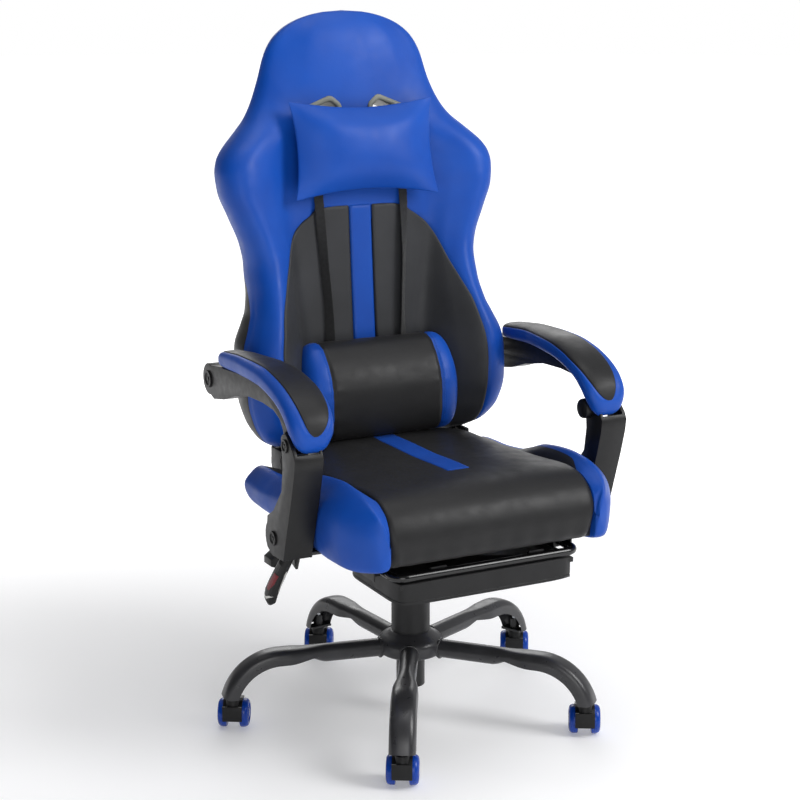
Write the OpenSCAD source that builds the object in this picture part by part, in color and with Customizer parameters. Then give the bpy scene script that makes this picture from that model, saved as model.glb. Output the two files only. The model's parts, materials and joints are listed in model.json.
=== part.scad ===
// High-back swivel chair with linked armrests, gas lift, star base and pull-out footrest.
// Frame: millimetres, +Z up, origin on the floor under the gas column. The chair faces -Y,
// so its own left-hand side is +X.

/* [Base] */
// Distance from the column to each caster stem
stem_radius = 318; // [280:1:350]
// Turn of the star base, and heading of the casters, about the column
base_turn = -30; // [-36:1:36]
// Outside diameter of the leg tube
leg_tube_d = 32; // [26:1:36]
// Width of the flattened, bent-down end of a leg
leg_end_w = 45; // [38:1:52]
// Diameter of a caster wheel
wheel_d = 50; // [46:1:52]

/* [Column] */
// Outside diameter of the widest column cover
cover_d = 67.4; // [64:0.2:72]
// Travel of the gas lift
lift_travel = 100; // [60:5:100]

/* [Seat] */
// Height of the middle of the seat
seat_top = 478; // [470:1:490]
// Front face of the seat cushion, ahead of the column
seat_front = 292; // [270:1:300]
// Half width of the black middle part of the seat
seat_half = 187; // [180:1:190]

/* [Back] */
// Lean of the backrest from upright
back_lean = 5.3; // [2:0.1:8]
// Half width of the middle slab, between the side bolsters
slab_half = 148; // [140:1:150]
// Thickness of the middle slab
slab_t = 62; // [56:1:66]
// Recline of the backrest from its upright stop
recline_travel = 40; // [30:1:42]

/* [Arms] */
// Middle of an armrest pad, from the chair's centre plane
arm_x = 270; // [268:1:274]

/* [Footrest] */
// Half width of the footrest tray
tray_half = 165; // [150:1:170]
// Thickness of the footrest tray and its pad
tray_t = 32; // [28:1:34]
// Diameter of the footrest tube
rail_d = 14; // [12:1:16]

/* [Hidden] */
$fn = 48;
hull_fn = 28;
soft_sides = 20;
gap = 0.3;
running = 0.05;

// star base
leg_z = 124;
bend_r = 64;
leg_depth = 30;
sheet = 2;
leg_end_z = 60;
hub_r = 57;
hub_low = 112;
hub_top = 152;
cylinder_r = 25;
cylinder_low = 52;
cylinder_top = 262;
bush_low = 190;
bush_top = 258;
rod_r = 5;
rod_top = 250;

// column
piston_r = 14;
piston_low = 112;
piston_top = 352;
cover_r = cover_d / 2;
cover_wall = 1.2;
cover_step = cover_wall + 0.5;
cover_low = 154.5;

// casters
stem_r = 5.5;
stem_top = 87;
trail = 15;
axle_r = 3;
axle_half = 24;
wheel_r = wheel_d / 2;
wheel_in = 11.2;
wheel_out = 26.8;
hood_half = 16.6;
hood_t = 3;
caster_top = 57.5;

// seat levels, from the mechanism upwards
frame_low = 372;
frame_h = 20;
board_low = frame_low + frame_h + gap;
board_t = 12;
foam_low = board_low + board_t + gap;
side_rail_x = 165;
mid_rail_x = 82;
rail_w = 25;
seat_rear = 148;
recess_y = 116;
recess_x = 158;
bolt_x = 82;
bolt_y = 85;
bolt_r = 4;

// pivots seen from the side, as [y, z]
recline_pivot = [150, 440];
arm_rear_pivot = [176, 597];
arm_front_pivot = [-164, 558];
upright_pivot = [-112, 394];
lever_pivot = [-62, 351];
pin_r = 5;
lever_y = 60;

// armrests and uprights, sizes along x from the centre plane
upright_in = 256.6;
upright_out = 306;
ear_in = 251.6;
ear_t = 4;
arm_in = 263;
arm_out = 298;
open_pivot_play = 3.4;
lug_r = 15;

// footrest
rail_x = tray_half + 2;
rail_z = 350;
rail_front = -270;
rail_rear = 44;
rail_bend = 20;
guide_y = -190;
guide_len = 50;
guide_low = 340;
tray_front = -278;
tray_rear = -88;
tray_low = guide_low - 0.7 - tray_t;
shell_t = 8;

// backrest
slab_foot = 156;
frame_tube_r = 10;
frame_depth = 41;
frame_x = 128;
head_bar = 690;

// ---- helpers ----

// A closed soft form through oval rings. A ring is [centre, half-size vector u, half-size vector v],
// and u x v points back along the form, so that its faces look outwards.
function ring_point(r, a) =
    let (c = cos(a), s = sin(a))
    r[0] + r[1] * sign(c) * pow(abs(c), 0.75) + r[2] * sign(s) * pow(abs(s), 0.75);

module loft(rings, sides = soft_sides) {
    points = [for (r = rings) for (i = [0:sides - 1]) ring_point(r, 360 * i / sides)];
    last = len(rings) - 1;
    walls = [for (k = [0:last - 1]) for (i = [0:sides - 1])
        let (a = k * sides + i, b = k * sides + (i + 1) % sides)
        for (f = [[a, b, a + sides], [b, b + sides, a + sides]]) f];
    caps = concat([[for (i = [sides - 1:-1:0]) i]],
                  [[for (i = [0:sides - 1]) last * sides + i]]);
    polyhedron(points, concat(walls, caps), convexity = 4);
}

// A plate or bar with its outline in the side view (y, z) and its thickness from x0 to x1
module side_plate(x0, x1) {
    translate([x0, 0, 0]) rotate([90, 0, 90]) linear_extrude(x1 - x0) children();
}

// A round bar along x, through a side-view point
module cross_bar(at, r, x0, x1) {
    translate([x0, at[0], at[1]]) rotate([0, 90, 0]) cylinder(r = r, h = x1 - x0);
}

// Both sides of the chair
module both_sides() {
    children();
    mirror([1, 0, 0]) children();
}

// The backrest's own frame: x across, y rearwards from its front face, z up from the recline pivot
module on_back() {
    translate([0, slab_foot, recline_pivot[1]]) rotate([-back_lean, 0, 0]) children();
}

function arc_points(c, r, a0, a1, n) =
    [for (i = [0:n]) let (a = a0 + (a1 - a0) * i / n) c + r * [cos(a), sin(a)]];

module at_leg(k) {
    rotate([0, 0, base_turn + 72 * (k - 1)]) children();
}

// A caster's own frame: stem on z, wheels behind it along y
module at_caster(k) {
    a = base_turn + 72 * (k - 1);
    translate([stem_radius * sin(a), -stem_radius * cos(a), 0])
        rotate([0, 0, base_turn]) children();
}

// ---- star base ----

module hub() {
    color("#1b1b1d") rotate_extrude($fn = 72)
        polygon([[cylinder_r + running, hub_low], [hub_r, hub_low], [hub_r, hub_low + 16],
                 [hub_r - 4, hub_low + 24], [cover_r + 4, hub_top - 5],
                 [cover_r + 1, hub_top], [cylinder_r + running, hub_top]]);
}

// Outer outline of a leg's wide part, with its rounded top towards +x
module channel_outline() {
    half = leg_end_w / 2;
    deep = leg_depth / 2;
    corner = 9;
    translate([-deep, -half]) square([leg_depth - corner, leg_end_w]);
    translate([-deep, -half + corner]) square([leg_depth, leg_end_w - 2 * corner]);
    for (s = [-1, 1]) translate([deep - corner, s * (half - corner)]) circle(r = corner);
}

// Hollow of that outline, open at the bottom
module channel_hollow() {
    half = leg_end_w / 2;
    deep = leg_depth / 2;
    corner = 9;
    translate([-deep - 1, -half + sheet]) square([leg_depth + 1 - corner, leg_end_w - 2 * sheet]);
    translate([-deep - 1, -half + corner]) square([leg_depth + 1 - sheet, leg_end_w - 2 * corner]);
}

module leg() {
    tube_r = leg_tube_d / 2;
    neck = 196;
    bend_at = stem_radius - bend_r;
    difference() {
        union() {
            // round tube out of the hub, let into the end wall of the wide part
            translate([0, -40, leg_z]) rotate([90, 0, 0]) cylinder(r = tube_r, h = neck + 14 - 40);
            difference() {
                translate([0, -neck, leg_z]) rotate([90, 0, 0])
                    linear_extrude(bend_at - neck) rotate(90) channel_outline();
                translate([0, -neck - 3, leg_z]) rotate([90, 0, 0])
                    linear_extrude(bend_at - neck) rotate(90) channel_hollow();
            }
        }
        translate([0, -39, leg_z]) rotate([90, 0, 0]) cylinder(r = tube_r - sheet, h = neck);
        translate([0, 0, hub_low - 20]) cylinder(r = hub_r + running, h = 80, $fn = 72);
    }
    translate([0, -bend_at, leg_z - bend_r]) rotate([90, 0, -90])
        rotate_extrude(angle = 90) translate([bend_r, 0]) difference() {
            channel_outline();
            channel_hollow();
        }
}

module legs() {
    color("#1b1b1d") for (k = [1:5]) at_leg(k) leg();
}

module caster_sockets() {
    plate = [leg_end_w - 2 * sheet - 0.4, 20, 4];
    color("#2a2a2c") for (k = [1:5]) at_leg(k) translate([0, -stem_radius, leg_end_z])
        difference() {
            union() {
                translate([-plate[0] / 2, -5.6, 0]) cube(plate);
                cylinder(r = 9, h = 22);
            }
            translate([0, 0, -1]) cylinder(r = stem_r + running, h = 40);
        }
}

module gas_cylinder() {
    color("#161618") difference() {
        translate([0, 0, cylinder_low]) cylinder(r = cylinder_r, h = cylinder_top - cylinder_low);
        translate([0, 0, cylinder_low + 4])
            cylinder(r = cylinder_r - 2.5, h = cylinder_top - cylinder_low);
    }
}

module guide_bush() {
    color("#d8d4c8") difference() {
        translate([0, 0, bush_low]) cylinder(r = cylinder_r - 2.6, h = bush_top - bush_low);
        translate([0, 0, bush_low - 1])
            cylinder(r = piston_r + running, h = bush_top - bush_low + 2);
    }
}

module gas_rod() {
    color("#c9ccd0") {
        translate([0, 0, cylinder_low + 4]) cylinder(r = 18, h = 5);
        translate([0, 0, cylinder_low + 8]) cylinder(r = rod_r, h = rod_top - cylinder_low - 8);
    }
}

// One tube of the telescoping cover: step 0 is the widest
module cover_tube(step, low, top) {
    r = cover_r - step * cover_step;
    difference() {
        translate([0, 0, low]) cylinder(r = r, h = top - low, $fn = 64);
        translate([0, 0, low - 1]) cylinder(r = r - cover_wall, h = top - low + 2, $fn = 64);
    }
}

module cover_lower() {
    color("#1f1f21") {
        cover_tube(2, hub_top + gap, 250);
        difference() {
            translate([0, 0, hub_top + gap]) cylinder(r = cover_r, h = 1.6, $fn = 64);
            translate([0, 0, hub_top]) cylinder(r = cylinder_r + 4, h = 4, $fn = 64);
        }
    }
}

module cover_middle() {
    color("#1f1f21") cover_tube(1, cover_low, 255);
}

module cover_upper() {
    color("#232325") {
        cover_tube(0, cover_low, 320);
        difference() {
            translate([0, 0, 318]) cylinder(r = cover_r, h = 2, $fn = 64);
            translate([0, 0, 317]) cylinder(r = piston_r + gap, h = 4);
        }
    }
}

module piston_tube() {
    color("#8d9094") difference() {
        translate([0, 0, piston_low]) cylinder(r = piston_r, h = piston_top - piston_low);
        translate([0, 0, piston_low - 1]) cylinder(r = rod_r + 1.5, h = piston_top - piston_low - 15);
    }
}

// ---- casters ----

module caster_housing() {
    color("#202022") difference() {
        union() {
            // web between the wheels
            translate([-wheel_in + 1.2, trail, wheel_r]) rotate([0, 90, 0])
                cylinder(r = 17, h = 2 * wheel_in - 2.4);
            translate([-wheel_in + 1.2, -trail + 6, wheel_r - 12])
                cube([2 * wheel_in - 2.4, 2 * trail - 6, 30]);
            // hood over the stem side of the wheels
            difference() {
                translate([-hood_half, trail, wheel_r]) rotate([0, 90, 0])
                    cylinder(r = wheel_r + 0.8 + hood_t, h = 2 * hood_half);
                translate([-hood_half - 1, trail, wheel_r]) rotate([0, 90, 0])
                    cylinder(r = wheel_r + 0.8, h = 2 * hood_half + 2);
                translate([-hood_half - 1, trail - 40, -60]) cube([2 * hood_half + 2, 90, 72]);
                translate([-hood_half - 1, trail + 12, 0]) cube([2 * hood_half + 2, 60, 80]);
            }
            translate([-hood_half, -trail + 0.5, 11.5]) cube([2 * hood_half, 3.5, 34]);
            // stem boss
            translate([0, 0, wheel_r + 6]) cylinder(r = 11.5, h = caster_top - wheel_r - 6);
        }
        // room for the wheels beside the web
        for (s = [-1, 1]) translate([s > 0 ? wheel_in - 0.8 : -wheel_out - 3, trail, wheel_r])
            rotate([0, 90, 0]) cylinder(r = wheel_r + 0.8, h = wheel_out - wheel_in + 3.8);
        translate([0, 0, wheel_r + 8]) cylinder(r = stem_r + 0.02, h = 60);
        cross_bar([trail, wheel_r], axle_r + 0.02, -40, 40);
    }
}

module caster_pins() {
    color("#b8bbc0") {
        translate([0, 0, wheel_r + 8.2]) cylinder(r = stem_r, h = stem_top - wheel_r - 8.2);
        cross_bar([trail, wheel_r], axle_r, -axle_half, axle_half);
    }
}

module caster_wheels() {
    color("#1a46b4") for (s = [-1, 1]) difference() {
        translate([s > 0 ? wheel_in : -wheel_out, trail, wheel_r]) rotate([0, 90, 0])
            cylinder(r = wheel_r, h = wheel_out - wheel_in, $fn = 64);
        cross_bar([trail, wheel_r], axle_r + running, s > 0 ? wheel_in - 1 : -axle_half - 0.4,
                  s > 0 ? axle_half + 0.4 : -wheel_in + 1);
    }
}

// ---- seat ----

module mechanism() {
    socket_r = 22;
    low = 324;
    color("#1d1d1f") difference() {
        union() {
            translate([-95, -110, 367]) cube([190, 220, frame_low - gap - 367]);
            translate([-48, -92, 344]) cube([96, 170, 24]);
            translate([0, 0, low]) cylinder(r = socket_r, h = 367 - low + 2);
        }
        translate([-45, -89, 340]) cube([90, 60, 27]);
        translate([-45, 30, 340]) cube([90, 45, 27]);
        translate([0, 0, low - 1]) cylinder(r = piston_r + running, h = piston_top - low + 2);
        translate([-49, 56, 348]) cube([4, 8, 8]);
        for (x = [-bolt_x, bolt_x], y = [-bolt_y, bolt_y])
            translate([x, y, 350]) cylinder(r = bolt_r + 0.2, h = 40);
    }
}

module mechanism_bolts() {
    color("#b8bbc0") for (x = [-bolt_x, bolt_x], y = [-bolt_y, bolt_y]) translate([x, y, 0]) {
        translate([0, 0, 361]) cylinder(r = 7.5, h = 5.8, $fn = 6);
        translate([0, 0, 366]) cylinder(r = bolt_r, h = frame_low + frame_h - 366.2);
    }
}

// Welded box-section rails under the seat; inset shrinks them to their hollow inside
module rails(inset) {
    front = -250 + inset;
    rear = 140 - inset;
    w = rail_w - 2 * inset;
    h = frame_h - 2 * inset;
    for (x = [-side_rail_x, -mid_rail_x, mid_rail_x, side_rail_x])
        translate([x - w / 2, front, frame_low + inset]) cube([w, rear - front, h]);
    for (y = [front, rear - w])
        translate([-side_rail_x, y, frame_low + inset]) cube([2 * side_rail_x, w, h]);
}

module seat_frame() {
    color("#222224") difference() {
        rails(0);
        rails(1.5);
        for (x = [-bolt_x, bolt_x], y = [-bolt_y, bolt_y])
            translate([x, y, frame_low - 1]) cylinder(r = bolt_r + 0.2, h = frame_h + 2);
    }
}

module seat_board() {
    color("#b08d5a") difference() {
        translate([-176, -262, board_low]) cube([352, 400, board_t]);
        for (s = [-1, 1]) translate([s * 172 - 14, 104, board_low - 1]) cube([28, 60, board_t + 2]);
    }
}

module seat_cushion() {
    roll = 34;
    apron = -272;
    outline = concat(
        [[seat_rear, foam_low], [seat_rear, seat_top - 12]],
        [[seat_rear - 14, seat_top - 2], [60, seat_top], [-200, seat_top + 3]],
        arc_points([-seat_front + roll, seat_top + 2 - roll], roll, 90, 180, 6),
        [[-seat_front, frame_low + 8], [-seat_front + 8, frame_low], [apron, frame_low],
         [apron, foam_low]]);
    color("#1c1c1e") difference() {
        side_plate(-seat_half + gap, seat_half - gap) polygon(outline);
        both_sides() translate([recess_x, recess_y, foam_low - 1]) cube([60, 60, 120]);
    }
}

// Side bolster: rings from front to rear, [y, lowest z, highest z, outermost x]
seat_rings = [
    [-302, 392, 436, 226], [-292, 373, 464, 240], [-255, 364, 488, 250], [-210, 360, 498, 253],
    [-150, 362, 493, 250], [-80, 365, 480, 249.5], [0, 372, 472, 249.5], [80, 380, 466, 250],
    [118, 386, 456, 249], [142, 396, 440, 240], [150, 406, 428, 228]];

module seat_bolster() {
    inner = seat_half + gap;
    color("#1d4fc0") difference() {
        loft([for (q = seat_rings)
            [[(inner + q[3]) / 2, q[0], (q[1] + q[2]) / 2],
             [(q[3] - inner) / 2, 0, 0], [0, 0, (q[2] - q[1]) / 2]]]);
        translate([180, upright_pivot[0] - 42, 330]) cube([200, 114, frame_low + gap - 330]);
    }
}

module seat_bolster_left() { seat_bolster(); }
module seat_bolster_right() { mirror([1, 0, 0]) seat_bolster(); }

// Strap under the side bolster with an upturned ear for the armrest upright
module arm_brackets() {
    strap_z = frame_low - gap - 6;
    y0 = upright_pivot[0] - 30;
    color("#1d1d1f") {
        both_sides() difference() {
            union() {
                translate([155, y0, strap_z]) cube([ear_in + ear_t - 155, 60, 6]);
                translate([ear_in, y0, strap_z]) cube([ear_t, 60, upright_pivot[1] - strap_z]);
                cross_bar(upright_pivot, 30, ear_in, ear_in + ear_t);
            }
            cross_bar(upright_pivot, pin_r + 0.02, ear_in - 1, ear_in + ear_t + 1);
        }
        // hanger for the recline lever, on the chair's right
        difference() {
            union() {
                translate([-226, lever_pivot[0] - 14, lever_pivot[1] - 12])
                    cube([4, 28, strap_z - lever_pivot[1] + 12.5]);
                translate([-226, lever_pivot[0] - 24, strap_z]) cube([40, 38, 6]);
            }
            cross_bar(lever_pivot, 4.02, -230, -220);
        }
    }
}

module pivot_pins() {
    color("#b8bbc0") {
        both_sides() {
            cross_bar(upright_pivot, pin_r, ear_in - 1, upright_out - 5);
            cross_bar(recline_pivot, 6, 160, 176);
        }
        cross_bar(lever_pivot, 4, -246, -221);
    }
}

module recliner_plates() {
    color("#2a2a2c") both_sides() difference() {
        side_plate(161, 165) union() {
            polygon([[118, frame_low + frame_h + gap], [178, frame_low + frame_h + gap],
                     [172, recline_pivot[1] + 12], [128, recline_pivot[1] + 12]]);
            translate(recline_pivot) circle(r = 24);
        }
        cross_bar(recline_pivot, 6.02, 150, 180);
    }
}

module recliner_covers() {
    color("#19191b") both_sides() side_plate(176.5, 186) union() {
        translate(recline_pivot) circle(r = 25);
        translate(recline_pivot + [-24, 0]) square([48, 26]);
    }
}

module footrest_guides() {
    color("#2c2c2e") both_sides() difference() {
        translate([rail_x - 12, guide_y - guide_len / 2, guide_low])
            cube([24, guide_len, frame_low - gap - guide_low]);
        translate([rail_x, guide_y - guide_len, rail_z]) rotate([-90, 0, 0])
            cylinder(r = rail_d / 2 + running, h = 2 * guide_len);
    }
}

// ---- levers ----

// Height lever seen from the front, as [x, z]: a flat strip with one bend
lever_root = [-34, 352];
lever_bend = [-150, 352];
lever_end = [-206, 308];

module lever_strip(half, y_half) {
    d = lever_end - lever_bend;
    n = [d[1], -d[0]] / norm(d) * half;
    corner = [tan(atan2(-d[1], -d[0]) / 2), -1] * half;
    translate([0, lever_y + y_half, 0]) rotate([90, 0, 0]) linear_extrude(2 * y_half)
        polygon([lever_root + [0, half], lever_bend - corner, lever_end + n, lever_end - n,
                 lever_bend + corner, lever_root - [0, half]]);
}

module height_lever() {
    color("#28282a") lever_strip(3.5, 3);
}

module height_paddle() {
    color("#1b1b1d") difference() {
        translate([-190, lever_y + 15, 0]) rotate([90, 0, 0]) linear_extrude(30)
            polygon([[0, 316], [-12, 322], [-40, 312], [-54, 302], [-54, 290], [-44, 286],
                     [-8, 303]]);
        lever_strip(3.55, 3.05);
    }
}

module recline_lever() {
    color("#28282a") difference() {
        union() {
            cross_bar(lever_pivot, 11, -244, -227);
            side_plate(-244, -240) polygon([[-73, 351], [-51, 351], [-40, 322], [-58, 316]]);
        }
        cross_bar(lever_pivot, 4 + running, -250, -220);
    }
}

// Curved hand grip: rings [point, half width along x, half thickness]
grip_rings = [
    [[-252, -52, 342], 8, 9], [[-258, -46, 326], 10, 10], [[-262, -34, 306], 10, 11],
    [[-264, -18, 284], 10, 12], [[-265, -4, 264], 10, 13], [[-265, 2, 250], 9, 12],
    [[-265, 5, 243], 5, 7]];

module recline_grip() {
    color("#1b1b1d") difference() {
        loft([for (q = grip_rings) [q[0], [0, 0.84 * q[2], 0.54 * q[2]], [-q[1], 0, 0]]], 16);
        translate([-244.3, -90, 300]) cube([40, 80, 80]);
    }
}

// ---- backrest ----

// Half outline of the middle slab and head, [x, height above the recline pivot]
slab_side = [[slab_half, 18], [slab_half, 598], [182, 602], [174, 632], [162, 656], [148, 692],
             [136, 717], [114, 744], [75, 761], [0, 769]];
slab_outline = concat([[0, 14]], slab_side,
                      [for (i = [len(slab_side) - 2:-1:0]) [-slab_side[i][0], slab_side[i][1]]]);

// Harness slot on the chair's left, seen from the front
slot_shape = [[35, 560], [35, 612], [47, 622], [98, 602], [101, 586], [66, 556]];

module harness_slots(extra, depth0, depth1) {
    on_back() both_sides() translate([0, depth1, 0]) rotate([90, 0, 0])
        linear_extrude(depth1 - depth0) offset(r = extra, $fn = 24) polygon(slot_shape);
}

// Tube frame of the back, in the backrest's own frame; grow thickens or thins it for cutting
module back_tubes(grow) {
    r = frame_tube_r + grow;
    both_sides() {
        translate([frame_x, frame_depth, 30 - grow]) cylinder(r = r, h = head_bar - 30 + grow);
        translate([frame_x, frame_depth, head_bar]) sphere(r = r);
    }
    for (h = [40, 157, 340])
        translate([-176.4 - grow, frame_depth, h]) rotate([0, 90, 0])
            cylinder(r = r, h = 352.8 + 2 * grow);
    translate([-frame_x, frame_depth, head_bar]) rotate([0, 90, 0])
        cylinder(r = r, h = 2 * frame_x);
}

// Side plates that carry the recline pivot and the armrests' rear pins
module back_side_plates(grow) {
    low_tube = recline_pivot + [slab_foot - recline_pivot[0] + frame_depth + 4, 40];
    arm_tube = arm_rear_pivot + [36, -4];
    both_sides() {
        side_plate(165.6 - grow, 171 + grow) union() {
            translate(recline_pivot) circle(r = 20 + grow);
            translate(low_tube) circle(r = 12 + grow);
            polygon([recline_pivot + [-4 - grow, 19], low_tube + [-6 - grow, 11],
                     low_tube + [9, -8 - grow], recline_pivot + [14, -14 - grow]]);
        }
        side_plate(165.6 - grow, 171 + grow) union() {
            translate(arm_rear_pivot) circle(r = 13 + grow);
            translate(arm_tube) circle(r = 13 + grow);
            translate(arm_rear_pivot + [0, -15 - grow]) square([36, 26 + 2 * grow]);
        }
        cross_bar(arm_rear_pivot, 7 + grow, 165.6 - grow, 253.5 + grow);
    }
}

module back_frame() {
    color("#222224") difference() {
        union() {
            on_back() difference() {
                back_tubes(0);
                back_tubes(-1.5);
            }
            back_side_plates(0);
            both_sides() cross_bar(arm_rear_pivot, pin_r, 253.5, arm_out - 4);
        }
        both_sides() cross_bar(recline_pivot, 6 + running, 150, 190);
    }
}

module back_cushion() {
    color("#1d4fc0") difference() {
        on_back() translate([0, slab_t, 0]) rotate([90, 0, 0])
            linear_extrude(slab_t) polygon(slab_outline);
        // shallow seat for the black panel
        on_back() translate([-116, -1, 16]) cube([232, 11, 420]);
        on_back() back_tubes(gap);
        harness_slots(6.3, -5, slab_t + 5);
    }
}

module back_panel() {
    color("#1c1c1e") on_back() translate([-115.6, 0, 16.4]) cube([231.2, 9.6, 419.2]);
}

// Side bolster: rings from bottom to top, [z, inner x, outer x, front y, rear y]
back_rings = [
    [486, 158, 216, 128, 176], [500, 152, 230, 102, 188], [521, 149, 239, 90, 192],
    [564, 149, 250, 78, 196], [620, 149, 251, 79, 200], [660, 149, 242, 86, 206],
    [700, 149, 225, 104, 212], [744, 149, 218, 124, 218], [783, 149, 218, 138, 224],
    [815, 149, 223, 146, 228], [867, 149, 244, 152, 232], [909, 149, 261, 156, 236],
    [947, 149, 261, 160, 240], [977, 149, 247, 168, 245], [1004, 149, 221, 184, 252],
    [1020, 149, 200, 198, 260], [1030, 150, 188, 213, 264]];

module back_bolster() {
    color("#1d4fc0") difference() {
        loft([for (q = back_rings)
            [[(q[1] + q[2]) / 2, (q[3] + q[4]) / 2, q[0]],
             [(q[2] - q[1]) / 2, 0, 0], [0, (q[3] - q[4]) / 2, 0]]]);
        on_back() back_tubes(gap);
        back_side_plates(gap);
    }
}

module back_bolster_left() { back_bolster(); }
module back_bolster_right() { mirror([1, 0, 0]) back_bolster(); }

module back_cover() {
    t0 = slab_t + gap;
    side = [[130, 24], [196, 60], [206, 150], [184, 330], [206, 440], [222, 500], [196, 560],
            [160, 620], [130, 700], [96, 738], [0, 752]];
    outline = concat([[0, 20]], side, [for (i = [len(side) - 2:-1:0]) [-side[i][0], side[i][1]]]);
    color("#18181a") difference() {
        on_back() translate([0, t0 + 8, 0]) rotate([90, 0, 0]) linear_extrude(8) polygon(outline);
        harness_slots(6.3, slab_t - 5, slab_t + 20);
    }
}

module harness_bezels() {
    color("#6f7270") difference() {
        harness_slots(6, -2, slab_t + 9.5);
        harness_slots(0, -5, slab_t + 20);
    }
}

module head_pillow() {
    color("#1d4fc0") hull() {
        for (s = [-1, 1]) {
            translate([s * 130, 187, 1050]) sphere(r = 5, $fn = 12);
            translate([s * 130, 158, 905]) sphere(r = 5, $fn = 12);
        }
        translate([0, 167, 976]) scale([112, 32, 66]) sphere(r = 1, $fn = hull_fn);
    }
}

// Two elastic straps, from the harness slots down behind the head pillow to the lumbar pillow
module pillow_straps() {
    color("#141415") both_sides() {
        on_back() translate([77, -5.5, 240]) cube([10, 3, 325]);
    }
}

module lumbar_pillow() {
    height = [478, 646];
    depth = [78, 163];
    r = 40;
    color("#1c1c1e") side_plate(-slab_half, slab_half) union() {
        polygon([[depth[0] + r, height[0]], [depth[1] - 6, height[0] + 4],
                 [depth[1] + 8, height[1] - 6], [depth[0] + r + 10, height[1]],
                 [depth[0], height[1] - r - 10], [depth[0], height[0] + r]]);
        translate([depth[0] + r, height[0] + r]) circle(r = r);
        translate([depth[0] + r + 6, height[1] - r]) circle(r = r);
    }
}

// ---- armrests ----

// Rings along a pad from rear to front: [y, z, slope, inner x, outer x, half thickness]
pad_rings = [
    [136, 638, 4, 266, 290, 8], [128, 639, 4, 256, 298, 14], [90, 643, 3, 253.5, 302, 16],
    [45, 646, 1, 252, 305, 16.5], [0, 646.5, -2, 243, 307, 16.5], [-50, 645, -8, 237, 308, 17],
    [-95, 637, -20, 234, 309, 17], [-130, 624, -32, 232, 309, 17], [-160, 605, -50, 232, 309, 17],
    [-177, 586, -68, 234, 308, 17], [-183, 568, -84, 240, 303, 15], [-184, 560, -88, 250, 294, 9]];

module arm_pad() {
    color("#1c1c1e") difference() {
        loft([for (q = pad_rings)
            [[(q[3] + q[4]) / 2, q[0], q[1]],
             [0, -sin(q[2]) * q[5], cos(q[2]) * q[5]],
             [(q[4] - q[3]) / 2, 0, 0]]]);
        side_plate(arm_in - 8, arm_out + 8) arm_outline(gap);
    }
}

// Side view of the plastic arm under the pad
module arm_outline(grow) {
    upper = [[136, 626], [90, 629], [45, 632], [0, 633], [-50, 631.5], [-92, 623], [-122, 610],
             [-146, 593], [-158, 578], [-162, 566]];
    lower = [[-172, 553], [-160, 544], [-146, 552], [-137, 578], [-124, 592], [-100, 601],
             [-56, 604], [0, 602], [60, 590], [110, 574], [154, 566]];
    union() {
        polygon(concat([arm_rear_pivot + [12, 22 + grow]], [for (p = upper) p + [-0.4, 1] * grow],
                       lower, [arm_rear_pivot + [14, -20]]));
        translate(arm_rear_pivot) circle(r = 27);
    }
}

module arm() {
    color("#1a1a1c") difference() {
        side_plate(arm_in, arm_out) union() {
            difference() {
                arm_outline(0);
                translate(arm_front_pivot) circle(r = lug_r + 9);
            }
            translate(arm_front_pivot) circle(r = lug_r);
            translate(arm_front_pivot + [-3, 0]) rotate(20) square([14, 34]);
        }
        cross_bar(arm_rear_pivot, pin_r + running, arm_in - 5, arm_out - 3.5);
        cross_bar(arm_front_pivot, pin_r + open_pivot_play, arm_in - 5, arm_out + 5);
    }
}

module arm_left() { arm(); }
module arm_right() { mirror([1, 0, 0]) arm(); }
module arm_pad_left() { arm_pad(); }
module arm_pad_right() { mirror([1, 0, 0]) arm_pad(); }

// Side view of the upright
upright_side = concat(
    arc_points(arm_front_pivot, 19, 100, 30, 5),
    [[-152, 520], [-146, 480], [-112, 440], [-88, 426]],
    arc_points(upright_pivot, 33, 40, -40, 5),
    [[-106, 364], [-150, 366]],
    [[-158, 392], [-170, 430], [-186, 480], [-197, 520], [-200, 540], [-194, 552]]);

module upright() {
    wall = 5;
    color("#1a1a1c") difference() {
        union() {
            side_plate(upright_in, upright_out) polygon(upright_side);
            cross_bar(arm_front_pivot, pin_r, upright_in + 1, upright_out - 1);
        }
        // pocket for the arm's lug, open to the top and rear
        difference() {
            translate([arm_in - 1.6, -230, 523])
                cube([arm_out - arm_in + 3.2, 120, 80]);
            cross_bar(arm_front_pivot, pin_r, upright_in, upright_out);
            side_plate(arm_in - 3, arm_out + 3) polygon(
                [[-230, 500], [-191, 500], [-193, 530], [-194.5, 548], [-230, 560]]);
        }
        cross_bar(upright_pivot, pin_r + running, upright_in - 1, upright_out - 4.5);
    }
}

module upright_left() { upright(); }
module upright_right() { mirror([1, 0, 0]) upright(); }

// ---- footrest ----

// U-shaped bar of the footrest, with the given radius and with its ends at rear
module footrest_bar(r, rear) {
    both_sides() {
        translate([rail_x, rail_front + rail_bend, rail_z]) rotate([-90, 0, 0])
            cylinder(r = r, h = rear - rail_front - rail_bend);
        translate([rail_x - rail_bend, rail_front + rail_bend, rail_z]) rotate([0, 0, -90])
            rotate_extrude(angle = 90) translate([rail_bend, 0]) circle(r = r);
        translate([-0.01, rail_front, rail_z]) rotate([0, 90, 0])
            cylinder(r = r, h = rail_x - rail_bend + 0.01);
    }
}

module footrest_frame() {
    color("#151517") difference() {
        footrest_bar(rail_d / 2, rail_rear);
        footrest_bar(rail_d / 2 - 1.5, rail_rear + 1);
    }
}

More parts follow.
